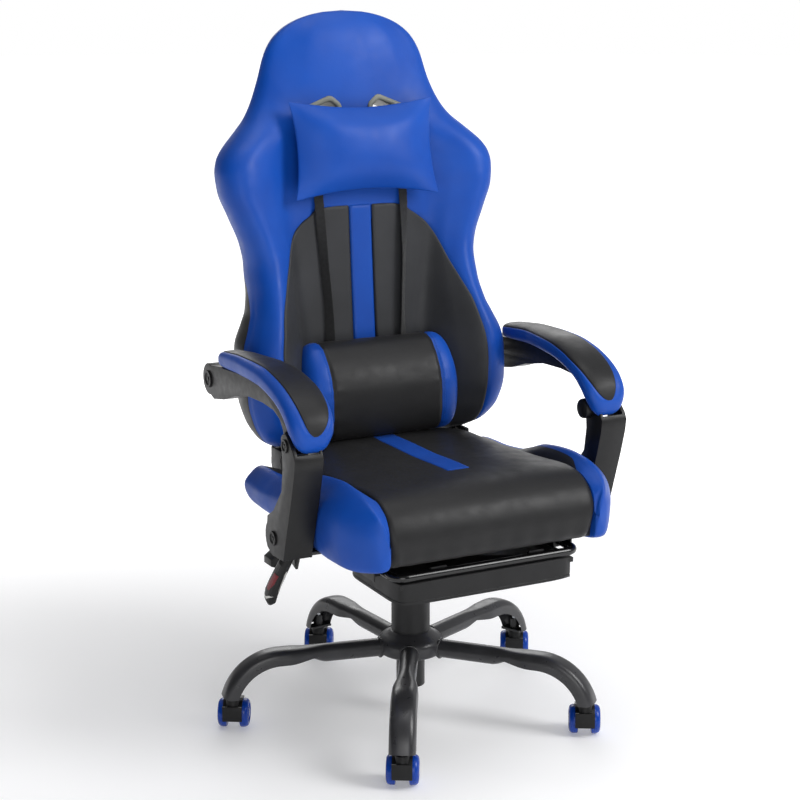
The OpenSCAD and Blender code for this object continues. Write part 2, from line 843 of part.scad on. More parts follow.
// Stiff shell of the tray, with two hooks that turn on the front bar
module footrest_board() {
    top = tray_low + tray_t;
    color("#161618") difference() {
        union() {
            translate([-tray_half + 6, tray_front + 6, top - shell_t])
                cube([2 * tray_half - 12, tray_rear - tray_front - 12, shell_t]);
            for (x = [-90, 90]) cross_bar([rail_front, rail_z], rail_d / 2 + 4, x - 14, x + 14);
        }
        cross_bar([rail_front, rail_z], rail_d / 2 + running, -tray_half, tray_half);
    }
}

module footrest_pad() {
    top = tray_low + tray_t;
    corner = 14;
    w = 2 * tray_half;
    d = tray_rear - tray_front;
    color("#1c1c1e") difference() {
        translate([0, tray_front, tray_low]) linear_extrude(tray_t) union() {
            translate([-tray_half + corner, 0]) square([w - 2 * corner, d]);
            translate([-tray_half, corner]) square([w, d - 2 * corner]);
            for (x = [-1, 1], y = [corner, d - corner])
                translate([x * (tray_half - corner), y]) circle(r = corner);
        }
        translate([-tray_half + 6 - gap, tray_front + 6 - gap, top - shell_t - gap])
            cube([w - 12 + 2 * gap, d - 12 + 2 * gap, shell_t + 10]);
        for (x = [-90, 90])
            cross_bar([rail_front, rail_z], rail_d / 2 + 4 + gap, x - 14 - gap, x + 14 + gap);
    }
}

hub();
legs();
caster_sockets();
gas_cylinder();
guide_bush();
gas_rod();
cover_lower();
cover_middle();
cover_upper();
piston_tube();
mechanism();
mechanism_bolts();
seat_frame();
seat_board();
seat_cushion();
seat_bolster_left();
seat_bolster_right();
arm_brackets();
pivot_pins();
recliner_plates();
recliner_covers();
footrest_guides();
height_lever();
height_paddle();
recline_lever();
recline_grip();
back_frame();
back_cushion();
back_panel();
back_bolster_left();
back_bolster_right();
back_cover();
harness_bezels();
head_pillow();
pillow_straps();
lumbar_pillow();
arm_left();
arm_right();
arm_pad_left();
arm_pad_right();
upright_left();
upright_right();
footrest_frame();
footrest_board();
footrest_pad();
for (k = [1:5]) {
    at_caster(k) caster_housing();
    at_caster(k) caster_pins();
    at_caster(k) caster_wheels();
}
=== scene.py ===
"""A high-back gaming chair: upholstery, mouldings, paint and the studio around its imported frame."""

import json
import math

import bmesh
import bpy
from mathutils import Matrix, Vector, noise
from mathutils.bvhtree import BVHTree

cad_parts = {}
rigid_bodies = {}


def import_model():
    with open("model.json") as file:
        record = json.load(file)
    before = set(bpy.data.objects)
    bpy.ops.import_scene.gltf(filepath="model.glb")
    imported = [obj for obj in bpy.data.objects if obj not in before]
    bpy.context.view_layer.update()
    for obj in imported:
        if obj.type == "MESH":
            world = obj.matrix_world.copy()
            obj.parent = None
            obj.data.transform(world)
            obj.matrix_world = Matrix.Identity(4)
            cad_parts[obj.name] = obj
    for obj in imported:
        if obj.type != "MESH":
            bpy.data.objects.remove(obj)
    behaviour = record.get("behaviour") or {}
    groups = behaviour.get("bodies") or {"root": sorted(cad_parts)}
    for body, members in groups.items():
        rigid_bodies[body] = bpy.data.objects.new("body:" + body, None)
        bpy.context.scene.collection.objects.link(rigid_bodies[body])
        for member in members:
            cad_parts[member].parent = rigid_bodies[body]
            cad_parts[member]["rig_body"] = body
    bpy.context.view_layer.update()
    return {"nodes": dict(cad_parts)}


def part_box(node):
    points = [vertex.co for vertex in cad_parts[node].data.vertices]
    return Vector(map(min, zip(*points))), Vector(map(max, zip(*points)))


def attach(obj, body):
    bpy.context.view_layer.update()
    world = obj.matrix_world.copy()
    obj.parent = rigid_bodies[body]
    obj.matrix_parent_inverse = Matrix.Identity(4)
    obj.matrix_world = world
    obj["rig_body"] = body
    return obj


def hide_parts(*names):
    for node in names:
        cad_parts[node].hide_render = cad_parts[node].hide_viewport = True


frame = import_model()

bl_info = {
    "name": "Gaming chair",
    "version": (1, 0, 0),
    "blender": (4, 5, 0),
    "location": "View3D > Sidebar > Chair",
    "description": "Builds the upholstery and finishes of a gaming chair on its frame",
    "category": "Object",
}

MM = 0.001
SIDES = {"left": 1, "right": -1}
RECLINE_PIVOT = Vector((0, 0.150, 0.440))
ARM_REAR = Vector((0, 0.176, 0.597))
ARM_FRONT = Vector((0, -0.164, 0.558))
UPRIGHT_PIVOT = Vector((0, -0.112, 0.394))
BACK_LEAN = math.radians(5.3)
SLAB_FOOT = 0.156


# ---- numbers along a shape ----

def track(*knots):
    """A smooth function through (t, value) knots that never overshoots them."""
    ts = [k[0] for k in knots]
    vs = [k[1] for k in knots]
    steps = [(vs[i + 1] - vs[i]) / (ts[i + 1] - ts[i]) for i in range(len(ts) - 1)]
    slopes = [steps[0]]
    for a, b in zip(steps, steps[1:]):
        slopes.append(0 if a * b <= 0 else 2 * a * b / (a + b))
    slopes.append(steps[-1])

    def at(t):
        if t <= ts[0]:
            return vs[0]
        if t >= ts[-1]:
            return vs[-1]
        i = max(j for j in range(len(ts) - 1) if ts[j] <= t)
        h = ts[i + 1] - ts[i]
        x = (t - ts[i]) / h
        return (
            vs[i] * (1 + 2 * x) * (1 - x) ** 2
            + slopes[i] * h * x * (1 - x) ** 2
            + vs[i + 1] * x * x * (3 - 2 * x)
            + slopes[i + 1] * h * x * x * (x - 1)
        )

    return at


def through(keys, t):
    """A point on the smooth curve through keys, [(t, Vector)], which runs on past both ends."""
    last = len(keys) - 3
    i = 1
    while i < last and keys[i + 1][0] < t:
        i += 1
    (t0, a), (t1, b), (t2, c), (t3, d) = keys[i - 1 : i + 3]
    h = t2 - t1
    x = (t - t1) / h
    start = (c - a) * (h / (t2 - t0))
    end = (d - b) * (h / (t3 - t1))
    return (
        b * ((1 + 2 * x) * (1 - x) ** 2)
        + start * (x * (1 - x) ** 2)
        + c * (x * x * (3 - 2 * x))
        + end * (x * x * (x - 1))
    )


def ease(t):
    t = min(1.0, max(0.0, t))
    return t * t * (3 - 2 * t)


def signed_power(value, power):
    return math.copysign(abs(value) ** power, value)


def millimetres(x, y, z):
    return Vector((x, y, z)) * MM


# ---- materials ----

def linear(hex_code, alpha=1.0):
    """An sRGB hex colour as linear RGBA."""
    parts = [int(hex_code[i : i + 2], 16) / 255 for i in (1, 3, 5)]
    return [p / 12.92 if p <= 0.04045 else ((p + 0.055) / 1.055) ** 2.4 for p in parts] + [alpha]


def add(tree, kind, inputs=None, **settings):
    """Adds one shader node; an input is a value or another node's output socket."""
    made = tree.nodes.new(kind)
    for name, value in settings.items():
        setattr(made, name, value)
    for name, value in (inputs or {}).items():
        socket = made.inputs[name]
        if isinstance(value, bpy.types.NodeSocket):
            tree.links.new(value, socket)
        else:
            socket.default_value = value
    return made


def per_metre(size_mm):
    """Texture scale that gives a pattern of that size."""
    return 1000 / size_mm


def new_material(name):
    """An empty node material: (material, tree, shader, object coordinates)."""
    made = bpy.data.materials.new(name)
    made.use_nodes = True
    tree = made.node_tree
    tree.nodes.clear()
    shader = add(tree, "ShaderNodeBsdfPrincipled")
    add(tree, "ShaderNodeOutputMaterial", {"Surface": shader.outputs[0]})
    where = add(tree, "ShaderNodeTexCoord").outputs["Object"]
    return made, tree, shader, where


def varied(tree, where, low, high, size_mm, detail=3.0):
    """A colour that drifts between two close tones over a given distance."""
    cloud = add(
        tree, "ShaderNodeTexNoise", {"Vector": where, "Scale": per_metre(size_mm), "Detail": detail}
    )
    ramp = add(tree, "ShaderNodeValToRGB", {"Fac": cloud.outputs["Fac"]})
    ramp.color_ramp.elements[0].position = 0.3
    ramp.color_ramp.elements[1].position = 0.7
    ramp.color_ramp.elements[0].color = low
    ramp.color_ramp.elements[1].color = high
    return ramp.outputs["Color"]


def rough_range(tree, where, low, high, size_mm):
    """Roughness that drifts between two values."""
    cloud = add(tree, "ShaderNodeTexNoise", {"Vector": where, "Scale": per_metre(size_mm)})
    return add(
        tree,
        "ShaderNodeMapRange",
        {"Value": cloud.outputs["Fac"], "From Min": 0.3, "From Max": 0.7, "To Min": low, "To Max": high},
    ).outputs["Result"]


def coated_fabric(name, low, high, roughness):
    """PU-coated fabric: an embossed pebble grain, soft creases and a slightly uneven satin."""
    made, tree, shader, where = new_material(name)
    tree.links.new(varied(tree, where, linear(low), linear(high), 90), shader.inputs["Base Color"])
    # real grain is about 0.8 mm; drawn at 1.5 mm so that it shows
    grain = add(
        tree, "ShaderNodeTexVoronoi", {"Vector": where, "Scale": per_metre(1.5)}, feature="SMOOTH_F1"
    )
    crease = add(
        tree, "ShaderNodeTexNoise", {"Vector": where, "Scale": per_metre(7), "Detail": 4.0}
    )
    broad = add(
        tree, "ShaderNodeBump", {"Height": crease.outputs["Fac"], "Strength": 0.10, "Distance": 0.0012}
    )
    fine = add(
        tree,
        "ShaderNodeBump",
        {"Height": grain.outputs["Distance"], "Normal": broad.outputs[0], "Strength": 0.16,
         "Distance": 0.0004},
    )
    tree.links.new(fine.outputs[0], shader.inputs["Normal"])
    tree.links.new(
        rough_range(tree, where, roughness - 0.05, roughness + 0.06, 25), shader.inputs["Roughness"]
    )
    shader.inputs["Specular IOR Level"].default_value = 0.24
    shader.inputs["Sheen Weight"].default_value = 0.03
    shader.inputs["Sheen Roughness"].default_value = 0.4
    return made


def powder_coat(name, low, high, roughness, peel):
    """Sprayed and baked paint on steel, with a faint orange peel that breaks its highlights."""
    made, tree, shader, where = new_material(name)
    tree.links.new(varied(tree, where, linear(low), linear(high), 40), shader.inputs["Base Color"])
    skin = add(tree, "ShaderNodeTexNoise", {"Vector": where, "Scale": per_metre(2.2), "Detail": 2.0})
    bump = add(
        tree, "ShaderNodeBump", {"Height": skin.outputs["Fac"], "Strength": peel, "Distance": 0.0004}
    )
    tree.links.new(bump.outputs[0], shader.inputs["Normal"])
    tree.links.new(
        rough_range(tree, where, roughness - 0.04, roughness + 0.05, 18), shader.inputs["Roughness"]
    )
    return made


def moulded_plastic(name, low, high, roughness, texture=0.12):
    """Injection-moulded plastic with a fine spark-eroded texture."""
    made, tree, shader, where = new_material(name)
    tree.links.new(varied(tree, where, linear(low), linear(high), 30), shader.inputs["Base Color"])
    spark = add(tree, "ShaderNodeTexNoise", {"Vector": where, "Scale": per_metre(0.7), "Detail": 2.0})
    bump = add(
        tree, "ShaderNodeBump", {"Height": spark.outputs["Fac"], "Strength": texture, "Distance": 0.0003}
    )
    tree.links.new(bump.outputs[0], shader.inputs["Normal"])
    tree.links.new(
        rough_range(tree, where, roughness - 0.03, roughness + 0.05, 12), shader.inputs["Roughness"]
    )
    shader.inputs["IOR"].default_value = 1.49
    shader.inputs["Specular IOR Level"].default_value = 0.34
    return made


def bare_metal(name, low, high, roughness):
    """Zinc-plated or ground steel: metallic, with fine turned marks round the part."""
    made, tree, shader, where = new_material(name)
    tree.links.new(varied(tree, where, linear(low), linear(high), 6), shader.inputs["Base Color"])
    marks = add(tree, "ShaderNodeTexNoise", {"Vector": where, "Scale": per_metre(0.8), "Detail": 1.0})
    bump = add(
        tree, "ShaderNodeBump", {"Height": marks.outputs["Fac"], "Strength": 0.08, "Distance": 0.0002}
    )
    tree.links.new(bump.outputs[0], shader.inputs["Normal"])
    shader.inputs["Metallic"].default_value = 1.0
    shader.inputs["Roughness"].default_value = roughness
    return made


def elastic_webbing(name):
    """Flat woven elastic: ribs along the strap and picks across it, about 1 mm apart."""
    made, tree, shader, where = new_material(name)
    tree.links.new(
        varied(tree, where, linear("#0c0c0d"), linear("#191a1b"), 5), shader.inputs["Base Color"]
    )
    ribs = add(
        tree, "ShaderNodeTexWave", {"Vector": where, "Scale": per_metre(1.2) / 3.14, "Distortion": 0.4},
        bands_direction="X",
    )
    picks = add(
        tree, "ShaderNodeTexWave", {"Vector": where, "Scale": per_metre(1.0) / 3.14, "Distortion": 0.4},
        bands_direction="Z",
    )
    weave = add(
        tree, "ShaderNodeMath", {0: ribs.outputs["Fac"], 1: picks.outputs["Fac"]}, operation="MULTIPLY"
    )
    bump = add(
        tree, "ShaderNodeBump", {"Height": weave.outputs[0], "Strength": 0.5, "Distance": 0.0004}
    )
    tree.links.new(bump.outputs[0], shader.inputs["Normal"])
    shader.inputs["Roughness"].default_value = 0.85
    shader.inputs["Sheen Weight"].default_value = 0.15
    return made


def dust_cloth(name):
    """Non-woven dust cloth under the seat: matte, pressed with a small dot pattern."""
    made, tree, shader, where = new_material(name)
    tree.links.new(
        varied(tree, where, linear("#131314"), linear("#1e1e20"), 12), shader.inputs["Base Color"]
    )
    dots = add(tree, "ShaderNodeTexVoronoi", {"Vector": where, "Scale": per_metre(2.0)})
    bump = add(
        tree, "ShaderNodeBump", {"Height": dots.outputs["Distance"], "Strength": 0.4, "Distance": 0.0004}
    )
    tree.links.new(bump.outputs[0], shader.inputs["Normal"])
    shader.inputs["Roughness"].default_value = 0.95
    return made


MATERIALS = {}


def make_materials():
    MATERIALS.update(
        blue_leather=coated_fabric("blue_pu_coated_fabric", "#08419b", "#0a48a6", 0.44),
        black_leather=coated_fabric("black_pu_coated_fabric", "#1b1b1c", "#202021", 0.44),
        # back face panels: the black coated fabric drawn lighter, painted light standing in for the
        # frontal light that falls on them
        panel_leather=coated_fabric("black_pu_coated_fabric_painted_lighter", "#2d2e30", "#343538", 0.46),
        black_steel=powder_coat("black_powder_coated_steel", "#151516", "#1a1a1b", 0.34, 0.10),
        # legs and hub: black powder coat drawn a lighter grey, a painted highlight standing in for the
        # light their tops catch
        base_steel=powder_coat("satin_black_steel_with_painted_highlight", "#2b2b2d", "#363639", 0.31, 0.14),
        gloss_steel=powder_coat("black_gloss_enamel_steel", "#0b0b0c", "#101011", 0.20, 0.05),
        black_plastic=moulded_plastic("black_moulded_polypropylene", "#0c0c0d", "#111112", 0.42),
        cover_plastic=moulded_plastic("dark_grey_moulded_cover", "#171718", "#1c1c1e", 0.42),
        blue_plastic=moulded_plastic(
            "blue_moulded_polyurethane_wheel", "#0a3a9a", "#0d42a8", 0.20, 0.03
        ),
        grey_plastic=moulded_plastic("olive_grey_moulded_bezel", "#74756a", "#808176", 0.42),
        white_plastic=moulded_plastic("white_acetal_bush", "#cfccc2", "#dedbd2", 0.4),
        red_plastic=moulded_plastic("red_printed_lever_mark", "#62101a", "#74141d", 0.4),
        pale_plastic=moulded_plastic("white_printed_lever_mark", "#c9c9c6", "#dcdcd8", 0.4),
        zinc=bare_metal("zinc_plated_steel", "#a9acb0", "#c3c6ca", 0.32),
        bright_steel=bare_metal("ground_bright_steel", "#b4b7bb", "#cccfd2", 0.18),
        elastic=elastic_webbing("black_elastic_webbing"),
        thread=moulded_plastic("blue_polyester_sewing_thread", "#0b3f94", "#1450b0", 0.55, 0.2),
        dust_cloth=dust_cloth("black_nonwoven_dust_cloth"),
    )


CAD_FINISHES = {
    # the legs and hub take the black paint drawn lighter, as a painted highlight
    "base_steel": ["hub", "legs"],
    "black_steel": ["gas_cylinder", "caster_sockets", "mechanism", "seat_frame",
                    "arm_brackets", "recliner_plates", "back_frame", "height_lever", "recline_lever"],
    "gloss_steel": ["footrest_frame"],
    "bright_steel": ["piston_tube", "gas_rod"],
    "zinc": ["mechanism_bolts", "pivot_pins"] + [f"caster_{k}_pins" for k in range(1, 6)],
    "cover_plastic": ["cover_lower", "cover_middle", "cover_upper"],
    "black_plastic": ["footrest_guides", "footrest_board", "recliner_covers", "height_paddle",
                      "recline_grip", "arm_left", "arm_right", "upright_left", "upright_right"]
    + [f"caster_{k}_housing" for k in range(1, 6)],
    "blue_plastic": [f"caster_{k}_wheels" for k in range(1, 6)],
    "white_plastic": ["guide_bush"],
    "grey_plastic": ["harness_bezels"],
    "dust_cloth": ["seat_board"],
    "black_leather": ["seat_cushion", "back_panel", "back_cover", "lumbar_pillow", "arm_pad_left",
                      "arm_pad_right", "footrest_pad"],
    "blue_leather": ["back_cushion", "back_bolster_left", "back_bolster_right",
                     "seat_bolster_left", "seat_bolster_right", "head_pillow"],
    "elastic": ["pillow_straps"],
}


# ---- making pieces ----

def shaped_grid(columns, rows, place, paint=None, weld=0.02 * MM):
    """A grid whose points are moved to place(u, v), with what meets welded and open ends closed.

    paint(u, v) gives a face its material's place in the piece's list.
    """
    bm = bmesh.new()
    bmesh.ops.create_grid(bm, x_segments=columns, y_segments=rows, size=0.5)
    if paint:
        for f in bm.faces:
            middle = f.calc_center_median()
            f.material_index = paint(middle.x + 0.5, middle.y + 0.5)
    for v in bm.verts:
        v.co = place(v.co.x + 0.5, v.co.y + 0.5)
    bmesh.ops.remove_doubles(bm, verts=bm.verts, dist=weld)
    rims = [e for e in bm.edges if e.is_boundary]
    if rims:
        bmesh.ops.holes_fill(bm, edges=rims)
    bmesh.ops.recalc_face_normals(bm, faces=bm.faces)
    return bm


def object_from(name, bm):
    """Turns a bmesh into an object in the scene and frees it."""
    mesh = bpy.data.meshes.new(name)
    bm.to_mesh(mesh)
    bm.free()
    made = bpy.data.objects.new(name, mesh)
    bpy.context.scene.collection.objects.link(made)
    return made


def piece(name, bm, body, slot, *finishes, replaces=(), sharp=None):
    """Turns a bmesh into a finished object that rides on a body."""
    made = object_from(name, bm)
    mesh = made.data
    for finish in finishes:
        mesh.materials.append(MATERIALS[finish])
    mesh.polygons.foreach_set("use_smooth", [True] * len(mesh.polygons))
    if sharp is not None:
        mesh.set_sharp_from_angle(angle=math.radians(sharp))
    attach(made, body)
    if replaces:
        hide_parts(*replaces)
    return made


def mirrored(bm):
    """A bmesh's mirror image across the chair's centre plane."""
    copy = bm.copy()
    bmesh.ops.scale(copy, vec=(-1, 1, 1), verts=copy.verts)
    bmesh.ops.reverse_faces(copy, faces=copy.faces)
    return copy


def lathe(profile, segments=48):
    """Spins (radius, height) points round Z into a closed form; the profile's ends are on the axis."""
    bm = bmesh.new()
    points = [bm.verts.new((r, 0, h)) for r, h in profile]
    edges = [bm.edges.new(pair) for pair in zip(points, points[1:])]
    bmesh.ops.spin(
        bm, geom=points + edges, axis=(0, 0, 1), cent=(0, 0, 0), angle=math.tau, steps=segments,
        use_merge=True,
    )
    bmesh.ops.remove_doubles(bm, verts=bm.verts, dist=0.01 * MM)
    bmesh.ops.recalc_face_normals(bm, faces=bm.faces)
    return bm


def softened(node, width, finish, slot, segments=2, sharp=40, cuts=()):
    """Stands for a hard CAD node with its edges rounded, as a moulding or pressing has them.

    cuts are (point, normal, lowest z) planes that trim away what lies on their normal's side.
    """
    source = frame["nodes"][node]
    bm = bmesh.new()
    bm.from_mesh(source.data)
    bmesh.ops.remove_doubles(bm, verts=bm.verts, dist=0.005 * MM)
    for point, normal, floor in cuts:
        part = [f for f in bm.faces if f.calc_center_median().z > floor]
        part += list({e for f in part for e in f.edges} | {v for f in part for v in f.verts})
        bmesh.ops.bisect_plane(bm, geom=part, plane_co=point, plane_no=normal, clear_outer=True)
        bmesh.ops.holes_fill(bm, edges=[e for e in bm.edges if e.is_boundary])
    bmesh.ops.dissolve_limit(bm, angle_limit=math.radians(1), verts=bm.verts, edges=bm.edges)
    edges = [
        e for e in bm.edges
        if len(e.link_faces) == 2 and e.calc_face_angle(0) > math.radians(sharp)
    ]
    bmesh.ops.bevel(
        bm, geom=edges, offset=width, offset_type="OFFSET", segments=segments, profile=0.5,
        affect="EDGES", material=-1, clamp_overlap=True,
    )
    body = source["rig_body"]
    return piece(f"{node}_moulding", bm, body, slot, finish, replaces=[node], sharp=35)


def evaluated_copy(obj):
    """Bakes an object's modifiers into its mesh."""
    graph = bpy.context.evaluated_depsgraph_get()
    baked = bpy.data.meshes.new_from_object(obj.evaluated_get(graph))
    obj.modifiers.clear()
    old = obj.data
    obj.data = baked
    bpy.data.meshes.remove(old)


def cut_through(obj, cutter):
    """Cuts a closed form out of a piece."""
    knife = obj.modifiers.new("cut", "BOOLEAN")
    knife.operation = "DIFFERENCE"
    knife.solver = "EXACT"
    knife.object = cutter
    evaluated_copy(obj)
    old = cutter.data
    bpy.data.objects.remove(cutter)
    bpy.data.meshes.remove(old)


def on_back(x, depth, height):
    """A point given in the backrest's own frame: across, rearwards from its face, up its slope."""
    c, s = math.cos(BACK_LEAN), math.sin(BACK_LEAN)
    return Vector((x, SLAB_FOOT + depth * c + height * s, RECLINE_PIVOT.z + height * c - depth * s))


def stitches(name, points, outwards, body, slot, finish, length=3.4 * MM, pitch=5.0 * MM):
    """Top stitching along points: short rounded threads that lie on the cover."""
    bm = bmesh.new()
    for row, faces_out in zip(points, outwards):
        walked, goal = 0.0, pitch / 2
        for a, b, out in zip(row, row[1:], faces_out):
            span = (b - a).length
            while span > 0 and walked + span > goal:
                centre = a.lerp(b, (goal - walked) / span)
                along = (b - a).normalized()
                side = along.cross(out).normalized()
                up = side.cross(along)
                turn = Matrix((along, side, up)).transposed().to_4x4()
                made = bmesh.ops.create_cube(
                    bm, size=1.0,
                    matrix=Matrix.Translation(centre) @ turn
                    @ Matrix.Diagonal((length, 0.8 * MM, 0.9 * MM, 1)),
                )
                ends = [v for v in made["verts"] if (v.co - centre).dot(along) ** 2 > 1e-9]
                for v in ends:
                    v.co -= up * 0.25 * MM
                goal += pitch
            walked += span
    return piece(name, bm, body, slot, finish)


class Settings(bpy.types.PropertyGroup):
    """Sizes that a user would change on the upholstery."""

    crown: bpy.props.FloatProperty(
        name="Seat crown", description="How far the middle of the seat stands up", default=5 * MM,
        unit="LENGTH", subtype="DISTANCE",
    )
    pillow_pressure: bpy.props.FloatProperty(
        name="Pillow pressure", description="Stuffing pressure of the head pillow", default=5.0,
    )


class StageSettings(bpy.types.PropertyGroup):
    """Camera and light of the studio."""

    azimuth: bpy.props.FloatProperty(
        name="Camera azimuth", description="Turn of the camera about the chair",
        default=math.radians(-27.31), unit="ROTATION", subtype="ANGLE",
    )
    elevation: bpy.props.FloatProperty(
        name="Camera elevation", description="Height angle of the camera",
        default=math.radians(13.24), unit="ROTATION", subtype="ANGLE",
    )
    distance: bpy.props.FloatProperty(
        name="Camera distance", description="Distance from the camera to its aim", default=3.107,
        unit="LENGTH", subtype="DISTANCE",
    )
    lens: bpy.props.FloatProperty(
        name="Lens", description="Focal length on a 36 mm sensor, in millimetres", default=82.1,
    )


# ---- backrest ----

# Sections of the backrest at a height in mm: half width, and the depth of its parts
BACK_HALF = track((462, 186), (487, 217), (521, 239), (564, 250), (620, 251.5), (645, 249), (683, 233),
                  (704, 224), (744, 218), (783, 218), (815, 223), (867, 243), (909, 259), (940, 262),
                  (960, 258), (977, 248), (1004, 221), (1028, 196), (1053, 180), (1093, 163),
                  (1130, 152), (1209, 126))
BACK_EDGE = track((462, 165), (487, 138), (521, 126), (564, 124), (620, 133), (645, 142), (683, 153),
                  (744, 176), (783, 187), (867, 191), (947, 197), (977, 204), (1004, 220), (1028, 238),
                  (1053, 247), (1093, 255), (1209, 259))
BACK_FRONT = track((462, 160), (634, 174), (777, 185), (878, 192), (960, 202), (1050, 213), (1130, 222),
                   (1180, 229), (1209, 236))
BACK_REAR = track((462, 214), (560, 232), (634, 240), (777, 253), (878, 264), (960, 273), (1050, 283),
                  (1130, 290), (1209, 296))
CREST_X = track((462, 160), (500, 190), (545, 202), (640, 203), (677, 197), (708, 190), (744, 185),
                (783, 183), (815, 189), (867, 208), (909, 222), (947, 222), (977, 209), (1004, 186),
                (1028, 165), (1053, 152), (1093, 138), (1154, 118), (1209, 100))
CREST_Y = track((462, 145), (485, 110), (521, 87), (564, 79), (620, 80), (660, 88), (700, 105),
                (744, 126), (783, 141), (815, 149), (867, 154), (909, 158), (947, 163), (977, 174),
                (1004, 192), (1028, 210), (1053, 222), (1093, 232), (1154, 241), (1209, 246))
FLAT_X = track((462, 108), (600, 112), (700, 118), (800, 122), (900, 132), (960, 134), (1010, 112),
               (1060, 90), (1209, 70))
BACK_LOW, BACK_TOP, HEAD_Z = 455, 1209, 1093
EDGE_S = 0.60


def back_closing(z):
    """Share of the full (width, thickness) that is left near the top and the foot."""
    width = thick = 1.0
    if z > HEAD_Z:
        t = min(1.0, (z - HEAD_Z) / (BACK_TOP - HEAD_Z))
        width = max(0.0, 1 - t ** 4.3) ** 0.5
        thick = max(0.0, 1 - t ** 3.2) ** 0.5
    foot = min(1.0, (z - BACK_LOW) / 34)
    round_off = max(0.0, 1 - (1 - foot) ** 2) ** 0.5
    return width * (0.80 + 0.20 * round_off), thick * round_off


def back_section(z):
    """Keys of the half section at height z, from the middle of the face to the middle of the rear."""
    width, thick = back_closing(z)
    front, rear = BACK_FRONT(z), BACK_REAR(z)
    half, crest_x, flat = BACK_HALF(z) * width, CREST_X(z) * width, FLAT_X(z) * width
    edge, crest = BACK_EDGE(z), CREST_Y(z)
    if z > HEAD_Z:
        middle = 0.5 * (edge + 0.5 * (front + rear))
    else:
        middle = 0.5 * (crest + rear)

    def at(x, y):
        return Vector((x, middle + (y - middle) * thick, z))

    slope = 0.5 * (flat + crest_x)
    # the middle is flat between the bolsters and turns into one smooth dome at the head
    dome = ease((z - 975) / 90)
    keys = [
        (0.0, at(0, front)),
        (0.15, at(flat * 0.55, front + 0.5 + 1.2 * dome)),
        (0.27, at(flat, front - 3 + 7.5 * dome)),
        (0.37, at(slope, front + (crest - front) * (0.62 + 0.02 * dome))),
        (0.47, at(crest_x, crest)),
        (0.55, at(crest_x + (half - crest_x) * 0.72, crest + (edge - crest) * 0.30)),
        (EDGE_S + 0.02, at(half, edge)),
        (0.72, at(half - 7, edge + (rear - edge) * 0.55)),
        (0.80, at(half - 34, rear - 9)),
        (0.90, at(half * 0.55, rear - 1)),
        (1.0, at(0, rear)),
    ]
    flip = Vector((-1, 1, 1))
    before = (-keys[1][0], keys[1][1] * flip)
    after = (2 - keys[-2][0], keys[-2][1] * flip)
    return [before] + keys + [after]


def back_height(v):
    """Height of a row of the backrest: rows are closer together at the foot and the top."""
    t = 0.5 - 0.5 * math.cos(math.pi * v)
    return BACK_LOW + (BACK_TOP - BACK_LOW) * (0.55 * v + 0.45 * t)


def back_face(x, z, section=None):
    """Depth of the backrest's face at (x, z), all in mm."""
    section = section or back_section(z)
    low, high = 0.0, 0.52
    for _ in range(18):
        s = 0.5 * (low + high)
        if through(section, s).x < abs(x):
            low = s
        else:
            high = s
    return through(section, low).y


# Where the black rear cover starts, as a share of the way round the section
REAR_SEAM = track((455, 0.61), (650, 0.612), (700, 0.625), (745, 0.66), (800, 0.76), (1209, 0.78))
SEAM_COLUMN = 0.64
PANEL_EDGE = track((462, 184), (494, 194), (543, 200), (600, 202), (640, 200), (677, 193), (708, 186),
                   (731, 177), (780, 157), (810, 146), (827, 138), (842, 127), (854, 112), (864, 96))
PANEL_LOW, PANEL_TOP, STRIPE_HALF = 460, 878, 22


def slot_outline(grow):
    """The harness slot on the chair's left, (across, up the slope) in mm, offset outwards by grow."""
    corners = [(35, 557), (35, 609), (47, 619), (98, 599), (101, 583), (66, 553)]
    made = []
    for i, b in enumerate(corners):
        a, c = corners[i - 1], corners[(i + 1) % len(corners)]
        into = Vector((b[0] - a[0], b[1] - a[1])).normalized()
        out = Vector((c[0] - b[0], c[1] - b[1])).normalized()
        n1, n2 = Vector((-into.y, into.x)), Vector((-out.y, out.x))
        mid = (n1 + n2).normalized()
        made.append((b[0] + mid.x * grow / mid.dot(n1), b[1] + mid.y * grow / mid.dot(n1)))
    return made


def slot_face(bm, grow, depth, side, rounding):
    """A face with the harness slot's outline and round corners, at a depth in mm."""
    points = [on_back(side * x * MM, depth * MM, h * MM) for x, h in slot_outline(grow)]
    face = bm.faces.new([bm.verts.new(p) for p in points])
    bmesh.ops.bevel(
        bm, geom=list(face.verts), offset=rounding * MM, offset_type="OFFSET", segments=5,
        profile=0.5, affect="VERTICES", material=-1,
    )


def slot_cutter(side):
    """A closed form that cuts one harness slot through the back."""
    bm = bmesh.new()
    slot_face(bm, 3.5, -40, side, 7)
    face = bm.faces[:][0]
    reach = on_back(0, 170 * MM, 0) - on_back(0, 0, 0)
    made = bmesh.ops.extrude_face_region(bm, geom=[face])
    bmesh.ops.translate(
        bm, vec=reach, verts=[g for g in made["geom"] if isinstance(g, bmesh.types.BMVert)]
    )
    bmesh.ops.recalc_face_normals(bm, faces=bm.faces)
    return object_from("slot_cutter", bm)


